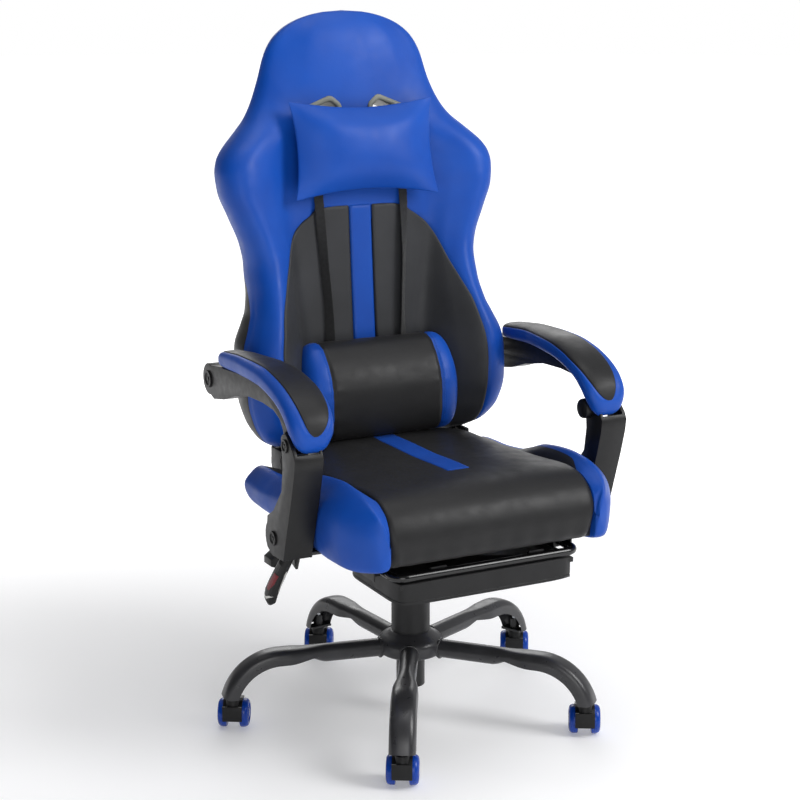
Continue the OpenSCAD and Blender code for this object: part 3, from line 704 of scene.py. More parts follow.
def make_back_shell():
    """The blue body of the backrest with its side bolsters, and the black rear of its cover."""
    sections = {}

    def place(u, v):
        z = back_height(v)
        if z not in sections:
            sections[z] = back_section(z)
        # a column of the grid lies along the seam of the rear cover
        w, seam = abs(2 * u - 1), REAR_SEAM(z)
        if w < SEAM_COLUMN:
            s = seam * w / SEAM_COLUMN
        else:
            s = seam + (1 - seam) * (w - SEAM_COLUMN) / (1 - SEAM_COLUMN)
        side = 1 if u > 0.5 else -1
        p = through(sections[z], s)
        x = max(0.0, p.x)
        y = p.y
        if z < PANEL_TOP:
            inside = min(PANEL_EDGE(z) - x, PANEL_TOP - z)
            if s < 0.5 and inside > 0:
                y += 5 * ease(inside / 8)
        draw_in = math.exp(-(((s - EDGE_S) / 0.006) ** 2)) * ease((760 - z) / 80)
        x -= 1.6 * draw_in
        y += 0.8 * draw_in
        return millimetres(side * x, y, z)

    bm = shaped_grid(200, 170, place, lambda u, v: 1 if abs(2 * u - 1) > SEAM_COLUMN else 0)
    # the foam evens out the cover above the panel
    for low, rounds in ((930, 14), (1020, 26)):
        face = [
            v for v in bm.verts
            if v.co.z > low * MM and v.co.y < BACK_EDGE(v.co.z / MM) * MM - 4 * MM
        ]
        for _ in range(rounds):
            bmesh.ops.smooth_vert(
                bm, verts=face, factor=0.5, use_axis_x=False, use_axis_y=True, use_axis_z=False
            )
    body = piece(
        "back_upholstery", bm, "back", "blue_coated_fabric", "blue_leather", "black_leather",
        replaces=["back_cushion", "back_bolster_left", "back_bolster_right", "back_cover"],
    )
    for side in SIDES.values():
        cut_through(body, slot_cutter(side))
    body.data.polygons.foreach_set("use_smooth", [True] * len(body.data.polygons))
    body.data.set_sharp_from_angle(angle=math.radians(50))


def panel_form(inner, outer, low, top, columns, rows, lift):
    """A stuffed panel on the backrest's face between two edges; it tucks in along its outline."""
    sections = {}

    def place(u, v):
        z = low + (top - low) * v
        if z not in sections:
            sections[z] = back_section(z)
        left, right = inner(z), outer(z)
        w = 2 * u if u < 0.5 else 2 - 2 * u
        x = left + (right - left) * w
        reach = min(x - left, right - x, top - z, z - low)
        rise = ease(reach / 5) ** 0.6
        y = back_face(x, z, sections[z])
        y += (1.6 - (lift + 1.6) * rise) if u < 0.5 else 6.0
        return millimetres(x, y, z)

    return shaped_grid(2 * columns, rows, place)


def make_back_panels():
    """Black face panels, their black drawn lighter as painted light, on both sides of a blue stripe."""
    def outer(z):
        if z <= 864:
            return PANEL_EDGE(z)
        t = (z - 864) / (PANEL_TOP - 864)
        return 96 - 70 * (1 - math.sqrt(max(0.0, 1 - t * t)))

    bm = panel_form(lambda z: STRIPE_HALF + 0.4, outer, PANEL_LOW, PANEL_TOP, 44, 130, 1.5)
    forms = {1: bm, -1: mirrored(bm)}
    for name, side in SIDES.items():
        made = piece(f"back_face_panel_{name}", forms[side], "back", "black_coated_fabric",
                     "panel_leather", replaces=["back_panel"])
    bm = panel_form(lambda z: -STRIPE_HALF + 0.4, lambda z: STRIPE_HALF - 0.4, PANEL_LOW, PANEL_TOP,
                    20, 130, 1.2)
    stripe = piece("back_face_stripe", bm, "back", "blue_coated_fabric", "blue_leather",
                   replaces=["back_panel"])


def rounded_outline(corners, radius, steps):
    """Points round a closed outline whose corners are turned into arcs."""
    made = []
    for i, b in enumerate(corners):
        b = Vector(b)
        a, c = Vector(corners[i - 1]), Vector(corners[(i + 1) % len(corners)])
        back, on = (a - b).normalized(), (c - b).normalized()
        half = 0.5 * back.angle(on)
        run = min(radius / math.tan(half), 0.48 * min((a - b).length, (c - b).length))
        start, end = b + back * run, b + on * run
        for k in range(steps + 1):
            t = k / steps
            made.append(start * (1 - t) ** 2 + b * (2 * t * (1 - t)) + end * t * t)
    return made


# Section of a bezel: how far outside the slot, how far off the face (front, then rear), in mm
BEZEL_FRONT = [(9.5, 2.0), (9.5, -1.4), (8.4, -2.8), (6.4, -3.5), (3.0, -3.3), (1.2, -2.4),
               (0.2, -0.6), (-0.6, 4.0)]
BEZEL_TUNNEL = 10


def make_bezels():
    """Moulded rims that line the harness slots, front and rear."""
    for name, side in SIDES.items():
        rings = []
        for grow, off in BEZEL_FRONT:
            ring = []
            for p in rounded_outline(slot_outline(grow), 9 + 0.5 * grow, 7):
                flat = on_back(p.x * MM, 0, p.y * MM)
                y = back_face(p.x, flat.z / MM) + off
                ring.append(millimetres(p.x * side, y, flat.z / MM))
            rings.append(ring)
        front = rings[-1]
        for k in range(1, BEZEL_TUNNEL):
            depth = (on_back(0, 62 * MM, 0) - on_back(0, 0, 0)) * (k / BEZEL_TUNNEL)
            rings.append([q + depth for q in front])
        for grow, off in reversed(BEZEL_FRONT):
            ring = []
            for p in rounded_outline(slot_outline(grow), 9 + 0.5 * grow, 7):
                flat = on_back(p.x * MM, 0, p.y * MM)
                z = flat.z / MM
                keys = [k for k in back_section(z) if 0.72 <= k[0] <= 1.0]
                rear = max(q.y for t, q in keys if t >= 0.8) - 0.02 * p.x
                ring.append(millimetres(p.x * side, rear - off, z))
            rings.append(ring)
        bm = bmesh.new()
        loops = [[bm.verts.new(q) for q in ring] for ring in rings]
        for one, two in zip(loops, loops[1:] + loops[:1]):
            for k in range(len(one)):
                n = (k + 1) % len(one)
                bm.faces.new((one[k], one[n], two[n], two[k]))
        bmesh.ops.recalc_face_normals(bm, faces=bm.faces)
        piece(f"harness_bezel_{name}", bm, "back", "grey_plastic", "grey_plastic",
              replaces=["harness_bezels"], sharp=50)


class CHAIR_OT_backrest(bpy.types.Operator):
    """Upholsters the backrest and lines its harness slots"""

    bl_idname = "chair.backrest"
    bl_label = "Backrest"

    def execute(self, context):
        make_back_shell()
        make_back_panels()
        make_bezels()
        return {"FINISHED"}


# ---- pillows ----

def simulate(obj, pressure, frames, cap, pinned=None):
    """Blows a closed cover up with cloth, lets no point move further than cap, and applies it."""
    scene = bpy.context.scene
    rest = [v.co.copy() for v in obj.data.vertices]
    cloth = obj.modifiers.new("cloth", "CLOTH")
    cloth.settings.quality = 6
    cloth.settings.mass = 0.2
    cloth.settings.tension_stiffness = 30
    cloth.settings.compression_stiffness = 30
    cloth.settings.shear_stiffness = 12
    cloth.settings.bending_stiffness = 0.4
    cloth.settings.use_pressure = True
    cloth.settings.uniform_pressure_force = pressure
    cloth.settings.effector_weights.gravity = 0
    cloth.collision_settings.use_self_collision = False
    if pinned:
        group = obj.vertex_groups.new(name="held")
        group.add(pinned, 1.0, "REPLACE")
        cloth.settings.vertex_group_mass = "held"
    for step in range(1, frames + 1):
        scene.frame_set(step)
    evaluated_copy(obj)
    for v, home in zip(obj.data.vertices, rest):
        move = v.co - home
        if move.length > cap:
            v.co = home + move.normalized() * cap
    scene.frame_set(1)


def relax(obj, rounds, held=()):
    """Evens out small creases between the points that are held."""
    bm = bmesh.new()
    bm.from_mesh(obj.data)
    held = set(held)
    loose = [v for v in bm.verts if v.index not in held]
    for _ in range(rounds):
        bmesh.ops.smooth_vert(
            bm, verts=loose, factor=0.5, use_axis_x=True, use_axis_y=True, use_axis_z=True
        )
    bm.to_mesh(obj.data)
    bm.free()


def soft_pouch(width, height, thickness, cuts):
    """Two sheets sewn round their edge, flat in XZ, a little apart in the middle."""
    def place(u, v):
        a = 2 * u if u < 0.5 else 2 - 2 * u
        x, z = (a - 0.5) * width, (v - 0.5) * height
        rim = min(a, 1 - a, v, 1 - v)
        swell = ease(rim / 0.22)
        side = -1 if u < 0.5 else 1
        x *= 1 - 0.075 * (1 - (2 * v - 1) ** 2)
        z *= 1 - 0.17 * (1 - (2 * a - 1) ** 2) ** 1.2
        return Vector((x, side * (0.4 * MM + thickness * 0.5 * swell), z))

    bm = bmesh.new()
    bmesh.ops.create_grid(bm, x_segments=2 * cuts, y_segments=int(cuts * height / width), size=0.5)
    for v in bm.verts:
        v.co = place(v.co.x + 0.5, v.co.y + 0.5)
    bmesh.ops.remove_doubles(bm, verts=bm.verts, dist=0.9 * MM)
    bmesh.ops.recalc_face_normals(bm, faces=bm.faces)
    return bm


def make_head_pillow(settings):
    """A small stuffed pillow whose sewn edges are drawn in between its corners."""
    width, height = 292 * MM, 186 * MM
    bm = soft_pouch(width, height, 26 * MM, 62)
    pillow = piece("head_pillow_cover", bm, "back", "blue_coated_fabric", "blue_leather",
                   replaces=["head_pillow"])
    seam = [v.index for v in pillow.data.vertices if abs(v.co.y) < 0.45 * MM]
    simulate(pillow, settings.pillow_pressure, 22, 40 * MM, seam)
    relax(pillow, 45, seam)
    relax(pillow, 2)
    # stretched to its finished size and leaned against the head of the backrest
    xs = [abs(v.co.x) for v in pillow.data.vertices]
    zs = [abs(v.co.z) for v in pillow.data.vertices]
    ys = [abs(v.co.y) for v in pillow.data.vertices]
    sizes = Vector((139 * MM / max(xs), 33 * MM / max(ys), 85 * MM / max(zs)))
    lean = Matrix.Rotation(math.radians(-10), 4, "X")
    place = Matrix.Translation(millimetres(0, 173, 977)) @ lean @ Matrix.Diagonal((*sizes, 1))
    pillow.data.transform(place)
    smooth = pillow.modifiers.new("smooth", "SUBSURF")
    smooth.levels = smooth.render_levels = 1


LUMBAR_SECTION = [(163, 478), (118, 477), (92, 487), (81, 512), (79.5, 552), (83, 578), (96, 608),
                  (122, 638), (146, 647), (164, 640), (173, 616), (168, 560), (165, 500)]


def make_lumbar_pillow():
    """A bolster pillow: black middle, blue ends, seams between, and rounded ends."""
    seam = 106
    points = LUMBAR_SECTION
    count = len(points)
    keys = [(i / count, Vector((0, *points[i % count]))) for i in range(-1, count + 2)]
    middle = Vector((0, 126, 560))

    def place(u, v):
        x = -149 + 298 * v
        p = through(keys, u % 1.0)
        end = max(0.0, (abs(x) - 106) / 43)
        k = (1 - end ** 3.4) ** 0.5 if end < 1 else 0.0
        k = 0.12 + 0.88 * k
        p = middle + (p - middle) * k
        pull = math.exp(-(((abs(x) - seam) / 3.2) ** 2))
        p += (middle - p).normalized() * (2.6 * pull)
        ripple = 0.45 * math.exp(-(((abs(x) - seam) / 16) ** 2)) * math.sin(math.tau * 17 * u)
        p += (p - middle).normalized() * ripple
        return millimetres(x, p.y, p.z)

    bm = shaped_grid(90, 130, place)
    for s in (-1, 1):
        bmesh.ops.bisect_plane(
            bm, geom=bm.verts[:] + bm.edges[:] + bm.faces[:], plane_co=(s * seam * MM, 0, 0),
            plane_no=(1, 0, 0), dist=0.01 * MM,
        )
    for f in bm.faces:
        f.material_index = 1 if abs(f.calc_center_median().x) > seam * MM else 0
    pillow = piece("lumbar_pillow_cover", bm, "back", "black_coated_fabric", "black_leather",
                   "blue_leather", replaces=["lumbar_pillow"])
    rows, outs = [], []
    for x in (-seam - 4.5, seam + 4.5):
        row = [place(i / 240, (x + 149) / 298) for i in range(241)]
        rows.append(row)
        outs.append([(p - middle * MM) * Vector((0, 1, 1)) for p in row])
    stitches("lumbar_pillow_stitching", rows, outs, "back", "blue_coated_fabric", "thread")


def make_straps():
    """Flat elastic straps from behind the head pillow down to the lumbar pillow, with a twist."""
    for name, side in SIDES.items():
        # along the strap, across, up in mm and the twist in radians
        stops = [
            (0.0, 82, 1012, 0.0), (0.12, 82, 960, 0.0), (0.30, 82, 893, 0.1),
            (0.46, 81, 850, 0.35), (0.66, 78, 780, 0.75), (0.84, 73, 700, 0.8), (1.0, 71, 632, 0.5),
        ]
        across, up, twist = (track(*[(stop[0], stop[i]) for stop in stops]) for i in (1, 2, 3))

        def place(u, v, side=side):
            width, thick = 17.0, 1.8
            angle = math.tau * u
            a = signed_power(math.cos(angle), 0.35) * width / 2
            b = signed_power(math.sin(angle), 0.35) * thick / 2
            turn = twist(v)
            x, z = across(v), up(v)
            crinkle = 0.5 * math.sin(z * 0.42 + side) * (1 if a > 0 else 0.4)
            y = back_face(min(x, 150), min(z, 1060)) - 5.0 - 7.0 * abs(math.sin(turn)) + crinkle
            dx = a * math.cos(turn) - b * math.sin(turn)
            dy = a * math.sin(turn) + b * math.cos(turn)
            return millimetres(side * (x + dx), y + dy, z)

        bm = shaped_grid(16, 90, place)
        piece(f"pillow_strap_{name}", bm, "back", "black_elastic", "elastic",
              replaces=["pillow_straps"], sharp=60)


class CHAIR_OT_pillows(bpy.types.Operator):
    """Makes the head pillow, the lumbar pillow and their straps"""

    bl_idname = "chair.pillows"
    bl_label = "Pillows"

    def execute(self, context):
        settings = context.scene.chair_settings
        make_head_pillow(settings)
        make_lumbar_pillow()
        make_straps()
        return {"FINISHED"}


# ---- seat ----

SEAT_HALF = 187
# Side view of the seat's black middle, from the rear foot over the top to the apron, (y, z) in mm
SEAT_SIDE = [(146, 406), (148, 445), (145, 468), (128, 476), (60, 477), (-50, 478.5), (-130, 481.5),
             (-190, 483), (-228, 480.5), (-256, 472), (-277, 456), (-290, 434), (-295, 409),
             (-292, 387), (-284, 376), (-272, 371)]
# How much lower the seat is along its side seams than in the middle
SEAT_FALL = track((-295, 2.5), (-236, 3.5), (-150, 9), (-37, 14), (75, 18), (147, 19))
SEAT_STRIPE_END = -171


def seat_rise(x, y, crown):
    """How far the seat's cover stands above its side view at (x, y), in mm."""
    t = abs(x) / SEAT_HALF
    sag = 0.9 * noise.noise(Vector((x * 0.012, y * 0.012, 3.0)))
    return crown * 0.2 - SEAT_FALL(y) * t ** 4 + sag


def make_seat_cushion(settings):
    """The black middle of the seat: one cover pulled from the back over the front edge."""
    lengths = [0.0]
    for a, b in zip(SEAT_SIDE, SEAT_SIDE[1:]):
        lengths.append(lengths[-1] + math.dist(a, b))
    total = lengths[-1]
    keys = [(s / total, Vector((0, *p))) for s, p in zip(lengths, SEAT_SIDE)]
    keys = [(-0.05, keys[0][1] * 2 - keys[1][1])] + keys + [(1.05, keys[-1][1] * 2 - keys[-2][1])]
    crown = settings.crown / MM
    core = Vector((0, -60, 420))

    def place(u, v):
        x = SEAT_HALF * (2 * u - 1)
        p = through(keys, v)
        tangent = through(keys, min(v + 0.004, 1.0)) - through(keys, max(v - 0.004, 0.0))
        out = Vector((0, tangent.z, -tangent.y)).normalized()
        if out.dot(p - core) < 0:
            out.negate()
        t = abs(x) / SEAT_HALF
        rise = seat_rise(x, p.y, crown)
        edge = 3.5 * ease((t - 0.965) / 0.035) ** 1.5
        ends = min(1.0, v / 0.08, (1 - v) / 0.08)
        ripple = 0.5 * math.sin(x * 0.16) * math.exp(-(((v - 0.95) / 0.04) ** 2))
        # the apron's corners turn in below the bolsters
        turn_in = 14 * ease((t - 0.80) / 0.2) ** 2 * ease((v - 0.86) / 0.14)
        p = p + out * ((rise - edge) * ends + ripple)
        x *= 1 - turn_in / SEAT_HALF
        return millimetres(x, p.y, p.z)

    bm = bmesh.new()
    bmesh.ops.create_grid(bm, x_segments=110, y_segments=170, size=0.5)
    for v in bm.verts:
        v.co = place(v.co.x + 0.5, v.co.y + 0.5)
    bmesh.ops.recalc_face_normals(bm, faces=bm.faces)
    if sum(f.normal.z for f in bm.faces) < 0:
        bmesh.ops.reverse_faces(bm, faces=bm.faces)
    # the cover's side walls go down behind the bolsters, and a bottom closes it
    rim = [e for e in bm.edges if e.is_boundary]
    made = bmesh.ops.extrude_edge_only(bm, edges=rim)
    for v in [g for g in made["geom"] if isinstance(g, bmesh.types.BMVert)]:
        v.co.z = min(v.co.z, 405.5 * MM) if v.co.y > -262 * MM else min(v.co.z, 373 * MM)
        if v.co.y < -262 * MM:
            v.co.y = max(v.co.y, -276 * MM)
            v.co.z = max(v.co.z, 372.4 * MM)
    bmesh.ops.holes_fill(bm, edges=[e for e in bm.edges if e.is_boundary])
    bmesh.ops.triangulate(bm, faces=[f for f in bm.faces if len(f.verts) > 4])
    bmesh.ops.recalc_face_normals(bm, faces=bm.faces)
    seat = piece("seat_cover", bm, "seat", "black_coated_fabric", "black_leather",
                 replaces=["seat_cushion"], sharp=55)


def make_seat_stripe(settings):
    """Blue inlay along the middle of the seat."""
    crown = settings.crown / MM
    side = track(*sorted((y, z) for y, z in SEAT_SIDE[3:9]))

    def place(u, v):
        y = SEAT_STRIPE_END + (110 - SEAT_STRIPE_END) * v
        w = 2 * u if u < 0.5 else 2 - 2 * u
        x = -22 + 44 * w
        reach = min(22 - abs(x), y - SEAT_STRIPE_END, 110 - y)
        base = side(y) + seat_rise(x, y, crown)
        z = base + (1.7 * ease(reach / 4) ** 0.6 - 0.5 if u < 0.5 else -3.0)
        return millimetres(x, y, z)

    bm = shaped_grid(32, 90, place)
    stripe = piece("seat_stripe", bm, "seat", "blue_coated_fabric", "blue_leather")


# Sections of a seat bolster along its length: y, lowest z, crest z, outermost x, crest x
BOLSTER = [(-297, 398, 424, 197, 193), (-293, 380, 444, 207, 199), (-284, 371, 460, 219, 207),
           (-268, 367, 472, 232, 211), (-250, 364, 480, 243, 213), (-228, 363, 486, 251, 214),
           (-205, 363, 489, 254, 215), (-175, 363, 491, 255, 215), (-143, 364, 489, 254, 216),
           (-88, 367, 481, 253, 219), (-40, 371, 464, 252, 222), (0, 375, 452, 252, 224),
           (80, 378, 445, 253, 225), (118, 379, 445, 252, 224), (138, 382, 443, 251, 223),
           (150, 390, 436, 243, 220), (154, 404, 422, 228, 214)]
# How far round a bolster's section its black strip reaches; the first 0.09 lies against the seat
BOLSTER_BLACK = track((-297, 0.10), (-246, 0.105), (-222, 0.155), (-190, 0.20), (-90, 0.22), (153, 0.25))
# Height of the seam that joins a bolster to the seat
BOLSTER_SEAM = track((-297, 405), (-289, 418), (-286, 442), (-269, 462), (-236, 474), (-150, 468),
                     (-37, 458), (75, 446), (153, 425))


def make_seat_bolsters():
    """Blue rolls along both sides of the seat, full at the front and lower towards the back."""
    columns = [track(*[(row[0], row[i]) for row in BOLSTER]) for i in range(1, 5)]
    inner = SEAT_HALF + 0.2

    def place(u, v):
        t = 0.5 - 0.5 * math.cos(math.pi * v)
        y = BOLSTER[0][0] + (BOLSTER[-1][0] - BOLSTER[0][0]) * (0.5 * v + 0.5 * t)
        low, high, outer, crest = (c(y) for c in columns)
        mid_z = 0.5 * (low + high)
        wide, tall = outer - inner, high - low
        seam = min(BOLSTER_SEAM(y), high - 1)
        keys = [
            (0.00, (inner, mid_z)), (0.09, (inner, seam - 5)), (0.14, (inner + 2, seam)),
            (0.19, (inner + 0.45 * (crest - inner), seam + 0.62 * (high - seam))),
            (0.27, (crest, high)), (0.38, (outer - 0.16 * wide, high - 0.20 * tall)),
            (0.50, (outer, mid_z + 0.05 * tall)), (0.62, (outer - 0.06 * wide, low + 0.22 * tall)),
            (0.73, (outer - 0.25 * wide, low + 0.03 * tall)), (0.84, (inner + 0.24 * wide, low)),
            (0.94, (inner, low + 8)), (1.00, (inner, mid_z)),
        ]
        keys = [(keys[-2][0] - 1, keys[-2][1])] + keys + [(1 + keys[1][0], keys[1][1])]
        # a column of the grid lies along the edge of the black strip
        black = BOLSTER_BLACK(y)
        s = black * u / 0.2 if u < 0.2 else black + (1 - black) * (u - 0.2) / 0.8
        p = through([(k, Vector(q)) for k, q in keys], s % 1.0)
        ends = min(v, 1 - v) / 0.02
        shrink = min(1.0, max(0.02, ends) ** 0.5)
        x = 0.5 * (inner + outer) + (p.x - 0.5 * (inner + outer)) * shrink
        z = mid_z + (p.y - mid_z) * shrink
        fold = 0.8 * noise.noise(Vector((x * 0.03, y * 0.02, z * 0.03)))
        return millimetres(max(inner, x + fold), y, z)

    def paint(u, v):
        t = 0.5 - 0.5 * math.cos(math.pi * v)
        y = BOLSTER[0][0] + (BOLSTER[-1][0] - BOLSTER[0][0]) * (0.5 * v + 0.5 * t)
        return 1 if y > -246 and u < 0.2 else 0

    bm = shaped_grid(90, 170, place, paint)
    # the pressed strap for the upright passes through a notch under the roll
    notch_low, notch_high = 330 * MM, 372.6 * MM
    forms = {1: bm, -1: mirrored(bm)}
    for name, side in SIDES.items():
        roll = piece(f"seat_bolster_{name}_cover", forms[side], "seat", "blue_coated_fabric",
                     "blue_leather", "black_leather", replaces=[f"seat_bolster_{name}"])
        cutter = bmesh.new()
        bmesh.ops.create_cube(
            cutter, size=1.0,
            matrix=Matrix.Translation((side * 0.280, -0.097, (notch_low + notch_high) / 2))
            @ Matrix.Diagonal((0.200, 0.116, notch_high - notch_low, 1)),
        )
        mesh = bpy.data.meshes.new("notch")
        cutter.to_mesh(mesh)
        cutter.free()
        box = bpy.data.objects.new("notch", mesh)
        bpy.context.scene.collection.objects.link(box)
        cut_through(roll, box)
        roll.data.polygons.foreach_set("use_smooth", [True] * len(roll.data.polygons))
        roll.data.set_sharp_from_angle(angle=math.radians(50))


class CHAIR_OT_seat(bpy.types.Operator):
    """Upholsters the seat and its side bolsters"""

    bl_idname = "chair.seat"
    bl_label = "Seat"

    def execute(self, context):
        settings = context.scene.chair_settings
        make_seat_cushion(settings)
        make_seat_stripe(settings)
        make_seat_bolsters()
        return {"FINISHED"}


# ---- armrests ----

# Sections of an arm pad: y, z, slope in degrees, inner x, outer x, half thickness
PAD = [(139, 637, 4, 268, 288, 3), (136, 638, 4, 260, 295, 9), (126, 640, 4, 254, 299, 14),
       (90, 643, 3, 252, 302.5, 16), (45, 646, 1, 250, 305, 17), (0, 646.5, -2, 243, 307, 17.5),
       (-50, 645, -8, 236, 308, 18), (-95, 638, -20, 233, 309, 18), (-134, 626, -33, 231, 309, 18),
       (-164, 609, -50, 231, 309, 18), (-181, 589, -66, 233, 308, 17), (-187, 571, -80, 239, 303, 15),
       (-188, 557, -86, 247, 296, 10), (-188, 549, -90, 256, 286, 3)]


def make_arm_pads():
    """Arm pads: a black top set into a blue band that runs round the sides and the nose."""
    count = len(PAD) - 1
    lines = [track(*[(i / count, row[c]) for i, row in enumerate(PAD)]) for c in range(6)]
    tip_from, tip_end = 0.58, 0.835

    def seam_at(v, share):
        """Angle of the seam round a section, where the black top is that share of it wide."""
        tip = max(0.0, min(1.0, (v - tip_from) / (tip_end - tip_from)))
        width = share * math.sqrt(1 - tip * tip) * (0.35 + 0.65 * ease(v / 0.06))
        return math.acos(min(1.0, max(0.0, width)) ** (1 / 0.62))

    def place(u, v):
        y, z, slope, inner, outer, thick = (line(v) for line in lines)
        seam = seam_at(v, 0.60 if u > 0.5 else 0.93)
        # columns 0 to 0.4 of each half run across the black top, the rest down the blue side
        t = abs(2 * u - 1)
        if t < 0.4:
            angle = math.pi / 2 - (math.pi / 2 - seam) * (t / 0.4)
        else:
            angle = seam - (seam + math.pi / 2) * ((t - 0.4) / 0.6)
        side = 1 if u > 0.5 else -1
        c, s = math.cos(angle), math.sin(angle)
        half = 0.5 * (outer - inner)
        across = side * half * abs(c) ** 0.62 * (1 if c > 0 else 0)
        lift = thick * signed_power(s, 0.72)
        pull = math.exp(-(((t - 0.4) / 0.022) ** 2))
        lift -= 1.3 * pull * ease((math.pi / 2 - seam) / 0.2)
        a = math.radians(slope)
        return millimetres(
            0.5 * (inner + outer) + across, y + math.sin(a) * lift, z + math.cos(a) * lift
        )

    def paint(u, v):
        return 0 if abs(2 * u - 1) < 0.4 and v < tip_end else 1

    bm = shaped_grid(120, 120, place, paint)
    forms = {1: bm, -1: mirrored(bm)}
    for name, side in SIDES.items():
        pad = piece(f"arm_pad_{name}_cover", forms[side], f"arm_{name}", "black_coated_fabric",
                    "black_leather", "blue_leather", replaces=[f"arm_pad_{name}"])


def cap(radius, height):
    """A round cap with a raised ring and a shallow dish."""
    r, h = radius, height
    return lathe([(0, 0), (r, 0), (r, h * 0.7), (r * 0.94, h), (r * 0.72, h), (r * 0.64, h * 0.45),
                  (r * 0.30, h * 0.35), (r * 0.22, h * 0.8), (0, h * 0.8)])


def make_knuckles():
    """Rounded bosses of the armrests' front joints, inside the fork and on its inner side."""
    for name, side in SIDES.items():
        for label, low, high, radius in (
            ("joint", 0.2605, 0.3010, 15.5 * MM), ("knob", 0.2400, 0.2575, 17 * MM),
        ):
            long, soft = high - low, 4 * MM
            bm = lathe([(0, 0), (radius - soft, 0), (radius - 0.3 * soft, 0.3 * soft), (radius, soft),
                        (radius, long - soft), (radius - 0.3 * soft, long - 0.3 * soft),
                        (radius - soft, long), (0, long)])
            bm.transform(
                Matrix.Translation((low, ARM_FRONT.y + 3 * MM, ARM_FRONT.z - 1 * MM))
                @ Matrix.Rotation(math.radians(90), 4, "Y")
            )
            form = bm if side > 0 else mirrored(bm)
            piece(f"armrest_{label}_{name}", form, f"arm_{name}", "black_plastic", "black_plastic",
                  sharp=40)


def make_arm_caps():
    """Ringed caps over the armrests' pivots."""
    for name, side in SIDES.items():
        for label, centre, x, radius, body in (
            ("rear", ARM_REAR, 0.2978, 15 * MM, f"arm_{name}"),
            ("front", ARM_FRONT, 0.3058, 11 * MM, f"upright_{name}"),
            ("foot", UPRIGHT_PIVOT, 0.3058, 12 * MM, f"upright_{name}"),
        ):
            bm = cap(radius, 3.2 * MM)
            turn = Matrix.Rotation(math.radians(90), 4, "Y")
            bm.transform(Matrix.Translation((x, centre.y, centre.z)) @ turn)
            form = bm if side > 0 else mirrored(bm)
            piece(f"armrest_{label}_cap_{name}", form, body, "black_plastic", "black_plastic",
                  sharp=30)


class CHAIR_OT_armrests(bpy.types.Operator):
    """Covers the armrests and finishes their mouldings"""

    bl_idname = "chair.armrests"
    bl_label = "Armrests"

    def execute(self, context):
        make_arm_pads()
        for name in SIDES:
            softened(f"arm_{name}", 3.0 * MM, "black_plastic", "black_plastic", segments=3)
            softened(f"upright_{name}", 2.0 * MM, "black_plastic", "black_plastic", segments=3)
        make_knuckles()
        make_arm_caps()
        return {"FINISHED"}


# ---- star base and casters ----

LEG_Z, STEM_R, LEG_END = 124, 318, 60
BASE_TURN = -30
BEND_FROM, BEND_R, BEND_ANGLE = 236, 88, math.radians(72)


def leg_point(distance):
    """(radius, z, pitch) along a leg's centre line, with distance from the column in mm."""
    if distance < BEND_FROM:
        return distance, LEG_Z, 0.0
    angle = (distance - BEND_FROM) / BEND_R
    if angle < BEND_ANGLE:
        return BEND_FROM + BEND_R * math.sin(angle), LEG_Z - BEND_R * (1 - math.cos(angle)), angle
    rest = distance - BEND_FROM - BEND_R * BEND_ANGLE
    return (
        BEND_FROM + BEND_R * math.sin(BEND_ANGLE) + rest * math.cos(BEND_ANGLE),
        LEG_Z - BEND_R * (1 - math.cos(BEND_ANGLE)) - rest * math.sin(BEND_ANGLE),
        BEND_ANGLE,
    )


def make_legs():
    """Five pressed steel legs: round tube at the hub, folded into a wide channel and bent down."""
    start, end = 46, BEND_FROM + BEND_R * BEND_ANGLE + 5

    def place(u, v):
        distance = start + (end - start) * v
        radius, z, pitch = leg_point(distance)
        form = ease((distance - 150) / 70)
        angle = math.tau * u
        c, s = math.cos(angle), math.sin(angle)
        tube = Vector((16 * c, 16 * s))
        wall = 0 if s > -1e-9 else 2.4
        half, deep = 22.3 - wall, 25 - wall
        channel = Vector((
            half * signed_power(c, 0.60),
            -9.5 + deep * abs(s) ** 0.55,
        ))
        p = tube.lerp(channel, form)
        # folds in the tube's flanks where it opens into the channel
        fold = math.exp(-(((distance - 186) / 22) ** 2))
        p.y -= 1.2 * fold * max(0.0, s)
        p.x *= 1 - 0.10 * fold * (1 - abs(s))
        up = Vector((math.sin(pitch), math.cos(pitch)))
        across = radius + up.x * p.y
        height = z + up.y * p.y
        if v > 0.985:
            height = max(height, LEG_END)
        return millimetres(p.x, -across, height)

    bm = shaped_grid(56, 120, place)
    whole = bmesh.new()
    mesh = bpy.data.meshes.new("leg_form")
    for k in range(5):
        leg = bm.copy()
        bmesh.ops.rotate(leg, verts=leg.verts, cent=(0, 0, 0),
                         matrix=Matrix.Rotation(math.radians(BASE_TURN + 72 * k), 3, "Z"))
        leg.to_mesh(mesh)
        leg.free()
        whole.from_mesh(mesh)
    bm.free()
    bpy.data.meshes.remove(mesh)
    piece("star_legs", whole, "base", "black_painted_steel", "base_steel", replaces=["legs"],
          sharp=60)


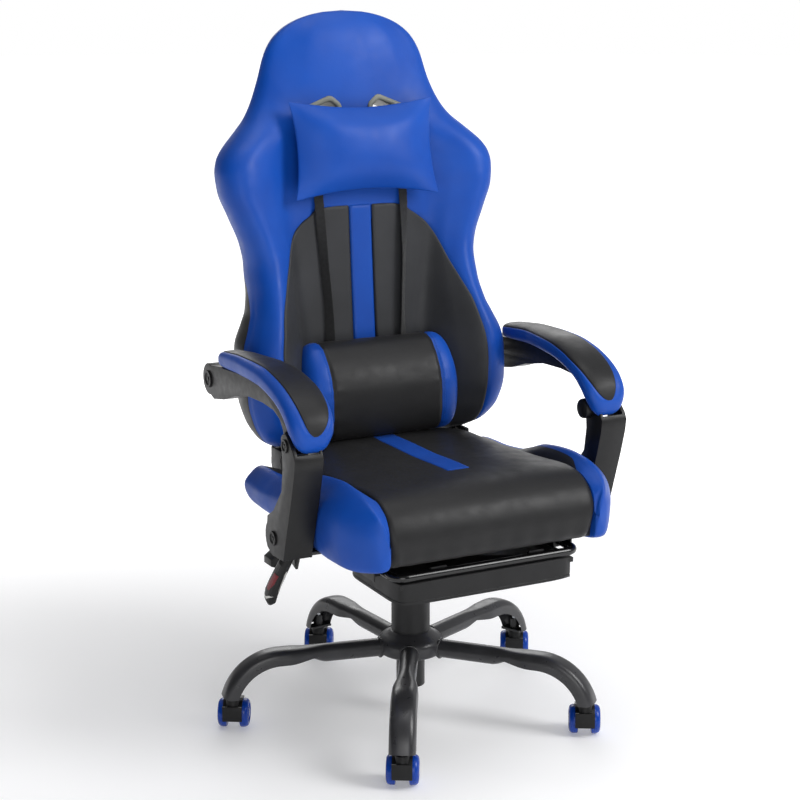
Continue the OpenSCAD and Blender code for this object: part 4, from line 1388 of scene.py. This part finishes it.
def make_hub():
    """Welded hub: a drum with a soft cone on top and a weld bead round each leg."""
    bm = lathe([(0, 112.5), (53, 112.5), (56, 114.5), (57.3, 118), (57.5, 131), (56, 137), (52, 141.5),
                (45, 145.5), (39, 149), (35.6, 152), (33, 153), (0, 153)], 72)
    bmesh.ops.scale(bm, vec=(MM, MM, MM), verts=bm.verts)
    piece("hub_casting", bm, "base", "black_painted_steel", "base_steel", replaces=["hub"], sharp=50)
    beads = bmesh.new()
    mesh = bpy.data.meshes.new("bead_form")
    for k in range(5):
        def place(u, v):
            a, b = math.tau * u, math.tau * v
            r = 16.6 + (2.1 + 0.25 * math.sin(a * 23)) * math.cos(b)
            reach = 57.2 - 0.6 + 2.0 * math.sin(b)
            x, z = r * math.cos(a), r * math.sin(a)
            drum = math.sqrt(max(1.0, reach * reach - x * x))
            return millimetres(x, -drum, LEG_Z + z)
        ring = shaped_grid(92, 10, place)
        bmesh.ops.rotate(ring, verts=ring.verts, cent=(0, 0, 0),
                         matrix=Matrix.Rotation(math.radians(BASE_TURN + 72 * k), 3, "Z"))
        ring.to_mesh(mesh)
        ring.free()
        beads.from_mesh(mesh)
    bpy.data.meshes.remove(mesh)
    piece("hub_weld_beads", beads, "base", "black_painted_steel", "base_steel")


def make_wheels():
    """Twin caster wheels: rounded tread, dished face and a hub boss."""
    radius, inner, outer = 25, 11.2, 26.8
    for k in range(5):
        turn = math.radians(BASE_TURN + 72 * k)
        stem = Vector((STEM_R * math.sin(turn), -STEM_R * math.cos(turn), 0)) * MM
        heading = Matrix.Rotation(math.radians(BASE_TURN), 4, "Z")
        both = bmesh.new()
        mesh = bpy.data.meshes.new("wheel_form")
        for side in (1, -1):
            bm = lathe([(0, inner), (22.5, inner), (24.4, inner + 0.8), (radius, inner + 2.6),
                        (radius, outer - 9.0), (24.6, outer - 6.0), (23.4, outer - 3.2),
                        (21.4, outer - 1.2), (19.0, outer - 0.2), (17.4, outer - 0.3),
                        (16.4, outer - 2.0), (9.5, outer - 2.4), (8.2, outer - 0.8),
                        (7.0, outer - 0.2), (0, outer - 0.2)], 64)
            bmesh.ops.scale(bm, vec=(MM, MM, MM), verts=bm.verts)
            axle = Matrix.Rotation(math.radians(90 * side), 4, "Y")
            bm.transform(
                Matrix.Translation(stem) @ heading @ Matrix.Translation((0, 15 * MM, radius * MM)) @ axle
            )
            bm.to_mesh(mesh)
            bm.free()
            both.from_mesh(mesh)
        bpy.data.meshes.remove(mesh)
        piece(f"caster_{k + 1}_twin_wheel", both, f"caster_{k + 1}_wheels", "blue_plastic",
              "blue_plastic", replaces=[f"caster_{k + 1}_wheels"], sharp=45)


class CHAIR_OT_base(bpy.types.Operator):
    """Makes the star base, its welds and the caster wheels"""

    bl_idname = "chair.base"
    bl_label = "Star base"

    def execute(self, context):
        make_legs()
        make_hub()
        make_wheels()
        for k in range(1, 6):
            softened(f"caster_{k}_housing", 1.0 * MM, "black_plastic", "black_plastic",
                     cuts=[((0, 0, 19 * MM), (0, 0, -1), -1.0)])
        return {"FINISHED"}


# ---- footrest ----

def make_footrest_pad():
    """Padded tray under the footrest bar: upright sides, rounded corners and a seam low round them."""
    low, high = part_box("footrest_pad")
    low.z -= 1 * MM
    high.z += 0.6 * MM
    high.x -= 5 * MM
    centre, half = (low + high) / 2, (high - low) / 2
    corner = 23 * MM

    def place(u, v):
        angle = math.tau * u
        c, s = math.cos(angle), math.sin(angle)
        # a rounded rectangle: straight runs are stretched out of a circle of the corner's radius
        spread = 1.0 / max(abs(c), abs(s))
        x = max(-1.0, min(1.0, c * spread)) * (half.x - corner)
        y = max(-1.0, min(1.0, s * spread)) * (half.y - corner)
        lean = math.pi * (v - 0.5)
        inset = max(0.0, math.cos(lean)) ** 0.22
        lift = signed_power(math.sin(lean), 0.5)
        n = Vector((x / (half.x - corner), y / (half.y - corner)))
        n = Vector((signed_power(n.x, 7), signed_power(n.y, 7))).normalized() if n.length > 0 else n
        seam = math.exp(-(((v - 0.34) / 0.012) ** 2))
        reach = corner - 1.1 * MM * seam
        if inset < 0.5:
            x *= inset / 0.5
            y *= inset / 0.5
        k = min(1.0, inset / 0.5)
        x, y = x + n.x * reach * k, y + n.y * reach * k
        dome = max(0.0, 1 - (x / half.x) ** 2) * max(0.0, 1 - (y / half.y) ** 2)
        crown = dome * (1.8 if v > 0.5 else -2.2) * MM
        return centre + Vector((x, y, half.z * lift + crown))

    bm = shaped_grid(200, 64, place)
    pad = piece("footrest_pad_cover", bm, "footrest_tray", "black_coated_fabric", "black_leather",
                replaces=["footrest_pad"])


def make_rail_flanges():
    """Folded steel flanges under the seat that hold the footrest's guides."""
    for name, side in SIDES.items():
        bm = bmesh.new()
        bmesh.ops.create_cube(
            bm, size=1.0,
            matrix=Matrix.Translation((side * 0.1835, -0.147, 0.3535))
            @ Matrix.Diagonal((0.003, 0.160, 0.035, 1)),
        )
        bmesh.ops.bevel(bm, geom=bm.edges[:], offset=1.2 * MM, offset_type="OFFSET", segments=2,
                        profile=0.5, affect="EDGES", material=-1)
        piece(f"rail_flange_{name}", bm, "seat", "black_painted_steel", "black_steel", sharp=40)


class CHAIR_OT_footrest(bpy.types.Operator):
    """Covers the footrest's tray"""

    bl_idname = "chair.footrest"
    bl_label = "Footrest"

    def execute(self, context):
        make_footrest_pad()
        make_rail_flanges()
        softened("footrest_board", 0.8 * MM, "black_plastic", "black_plastic",
                 cuts=[((0, -0.2685, 0), (0, -1, 0), 0.3415)])
        return {"FINISHED"}


# ---- levers and small hardware ----

def laid_on(node, outline, thickness, side):
    """A thin patch with that (y, z) outline in mm, laid on the outer side of a CAD node."""
    source = frame["nodes"][node]
    tree = BVHTree.FromPolygons(
        [v.co.copy() for v in source.data.vertices], [tuple(p.vertices) for p in source.data.polygons]
    )
    bm = bmesh.new()
    face = bm.faces.new([bm.verts.new((side * 0.5, y * MM, z * MM)) for y, z in outline])
    bmesh.ops.triangulate(bm, faces=[face])
    for _ in range(4):
        bmesh.ops.subdivide_edges(bm, edges=bm.edges[:], cuts=1, use_grid_fill=True)
    for v in bm.verts:
        hit = tree.ray_cast(v.co, Vector((-side, 0, 0)))[0]
        if hit is None:
            hit = tree.find_nearest(Vector((side * 0.26, v.co.y, v.co.z)))[0]
        v.co = Vector((hit.x, v.co.y, v.co.z))
    bmesh.ops.recalc_face_normals(bm, faces=bm.faces)
    if sum(f.normal.x for f in bm.faces) * side > 0:
        bmesh.ops.reverse_faces(bm, faces=bm.faces)
    bmesh.ops.solidify(bm, geom=bm.faces[:], thickness=thickness)
    for v in bm.verts:
        v.co.x += side * 0.35 * thickness
    bmesh.ops.recalc_face_normals(bm, faces=bm.faces)
    return bm


def make_grip_marks():
    """Red patch and pale guide lines on the recline grip; they say nothing."""
    marks = (
        ("patch", [(-43, 303), (-35, 308), (-15, 286), (-7, 273), (-14, 271), (-30, 285)], "red_plastic"),
        ("line_upper", [(-58, 311), (-56, 314), (-33, 284), (-22, 268), (-25, 267), (-36, 283)],
         "pale_plastic"),
        ("line_lower", [(-16, 259), (-13, 261), (-2, 257), (8, 262), (9, 259), (-3, 253)],
         "pale_plastic"),
    )
    for label, outline, finish in marks:
        piece(f"recline_grip_{label}", laid_on("recline_grip", outline, 0.5 * MM, -1), "recline_lever",
              "black_plastic", finish, sharp=30)


class CHAIR_OT_hardware(bpy.types.Operator):
    """Rounds the edges of the levers, covers and brackets"""

    bl_idname = "chair.hardware"
    bl_label = "Hardware"

    def execute(self, context):
        for node, width, finish, slot in (
            ("height_paddle", 2.5, "black_plastic", "black_plastic"),
            ("recliner_covers", 2.0, "black_plastic", "black_plastic"),
            ("footrest_guides", 1.0, "black_plastic", "black_plastic"),
            ("mechanism", 1.5, "black_steel", "black_painted_steel"),
            ("arm_brackets", 1.0, "black_steel", "black_painted_steel"),
            ("recliner_plates", 0.8, "black_steel", "black_painted_steel"),
            ("recline_lever", 1.0, "black_steel", "black_painted_steel"),
        ):
            softened(node, width * MM, finish, slot)
        make_grip_marks()
        return {"FINISHED"}


# ---- stage ----

def area_light(name, place, aim, width, height, power):
    """A soft rectangular light that points at aim; metres and watts."""
    data = bpy.data.lights.new(name, "AREA")
    data.shape = "RECTANGLE"
    data.size, data.size_y = width, height
    data.energy = power
    lamp = bpy.data.objects.new(name, data)
    bpy.context.scene.collection.objects.link(lamp)
    lamp.location = place
    lamp.rotation_euler = (Vector(aim) - Vector(place)).to_track_quat("-Z", "Y").to_euler()


class CHAIR_OT_stage(bpy.types.Operator):
    """Sets the pale floor, the soft lights and the camera"""

    bl_idname = "chair.stage"
    bl_label = "Stage"

    def execute(self, context):
        settings = context.scene.chair_stage
        scene = context.scene
        bm = bmesh.new()
        bmesh.ops.create_circle(bm, cap_ends=True, radius=26, segments=96)
        floor = object_from("studio_floor", bm)
        # white floor, lit from within towards its far edge so that it runs into the white beyond
        paint, tree, shader, where = new_material("studio_white_floor")
        shader.inputs["Base Color"].default_value = linear("#e9e9ea")
        shader.inputs["Roughness"].default_value = 0.8
        shader.inputs["Specular IOR Level"].default_value = 0.1
        reach = add(tree, "ShaderNodeVectorMath", {0: where}, operation="LENGTH")
        glow = add(tree, "ShaderNodeMapRange", {
            "Value": reach.outputs["Value"], "From Min": 0.5, "From Max": 2.3, "To Min": 0.23,
            "To Max": 0.95,
        }, interpolation_type="SMOOTHSTEP")
        shader.inputs["Emission Color"].default_value = (1, 1, 1, 1)
        tree.links.new(glow.outputs["Result"], shader.inputs["Emission Strength"])
        floor.data.materials.append(paint)

        world = bpy.data.worlds.new("studio")
        world.use_nodes = True
        tree = world.node_tree
        back = tree.nodes["Background"]
        # the room as it lights the chair: bright on the key's side and overhead, dim opposite
        seen = add(tree, "ShaderNodeTexCoord").outputs["Generated"]
        key_side = add(
            tree, "ShaderNodeVectorMath", {0: seen, 1: (0.62, 0.28, 0.73)}, operation="DOT_PRODUCT"
        )
        room = add(tree, "ShaderNodeMapRange", {
            "Value": key_side.outputs["Value"], "From Min": -0.2, "From Max": 1.0, "To Min": 0.03,
            "To Max": 0.50,
        }, interpolation_type="SMOOTHSTEP")
        tree.links.new(room.outputs["Result"], back.inputs["Strength"])
        back.inputs["Color"].default_value = linear("#fdfdff")
        # what stands behind the chair is a plain white sheet
        sheet = add(tree, "ShaderNodeBackground", {"Color": (1, 1, 1, 1), "Strength": 1.0})
        ray = add(tree, "ShaderNodeLightPath")
        mix = add(tree, "ShaderNodeMixShader", {
            0: ray.outputs["Is Camera Ray"], 1: back.outputs[0], 2: sheet.outputs[0],
        })
        tree.links.new(mix.outputs[0], tree.nodes["World Output"].inputs["Surface"])
        scene.world = world
        scene.view_settings.view_transform = "Standard"

        area_light("key", (2.0, -2.4, 2.6), (0, 0, 0.7), 1.4, 1.8, 82)
        area_light("front", (-1.3, -3.4, 1.3), (0, 0, 0.6), 1.8, 1.8, 30)
        area_light("rim", (1.4, 3.2, 1.9), (0, 0, 0.3), 2.6, 1.4, 32)
        area_light("top", (0.1, -0.3, 3.3), (0, 0, 0.4), 1.8, 1.8, 26)

        aim = Vector((-0.0165, 0.0085, 0.5643))
        a, e = settings.azimuth, settings.elevation
        away = Vector((math.sin(a) * math.cos(e), -math.cos(a) * math.cos(e), math.sin(e)))
        data = bpy.data.cameras.new("camera")
        data.sensor_width = 36
        data.lens = settings.lens
        data.clip_end = 60
        camera = bpy.data.objects.new("camera", data)
        scene.collection.objects.link(camera)
        camera.location = aim + away * settings.distance
        camera.rotation_euler = (-away).to_track_quat("-Z", "Y").to_euler()
        scene.camera = camera
        return {"FINISHED"}


class CHAIR_OT_finishes(bpy.types.Operator):
    """Makes the materials and paints the frame's own parts with them"""

    bl_idname = "chair.finishes"
    bl_label = "Finishes"

    def execute(self, context):
        make_materials()
        for finish, nodes in CAD_FINISHES.items():
            for node in nodes:
                mesh = frame["nodes"][node].data
                mesh.materials.clear()
                mesh.materials.append(MATERIALS[finish])
        return {"FINISHED"}


STEPS = [CHAIR_OT_stage, CHAIR_OT_finishes, CHAIR_OT_backrest, CHAIR_OT_pillows, CHAIR_OT_seat,
         CHAIR_OT_armrests, CHAIR_OT_footrest, CHAIR_OT_base, CHAIR_OT_hardware]


class CHAIR_PT_panel(bpy.types.Panel):
    """Lists the chair's building steps"""

    bl_label = "Gaming chair"
    bl_idname = "CHAIR_PT_panel"
    bl_space_type = "VIEW_3D"
    bl_region_type = "UI"
    bl_category = "Chair"

    def draw(self, context):
        for name in ("crown", "pillow_pressure"):
            self.layout.prop(context.scene.chair_settings, name)
        for name in ("azimuth", "elevation", "distance", "lens"):
            self.layout.prop(context.scene.chair_stage, name)
        for step in STEPS:
            self.layout.operator(step.bl_idname)


CLASSES = [Settings, StageSettings, *STEPS, CHAIR_PT_panel]


def register():
    for cls in CLASSES:
        bpy.utils.register_class(cls)
    bpy.types.Scene.chair_settings = bpy.props.PointerProperty(type=Settings)
    bpy.types.Scene.chair_stage = bpy.props.PointerProperty(type=StageSettings)


def unregister():
    del bpy.types.Scene.chair_stage
    del bpy.types.Scene.chair_settings
    for cls in reversed(CLASSES):
        bpy.utils.unregister_class(cls)


def main():
    register()
    for step in STEPS:
        group, name = step.bl_idname.split(".")
        getattr(getattr(bpy.ops, group), name)()


if __name__ == "__main__":
    main()
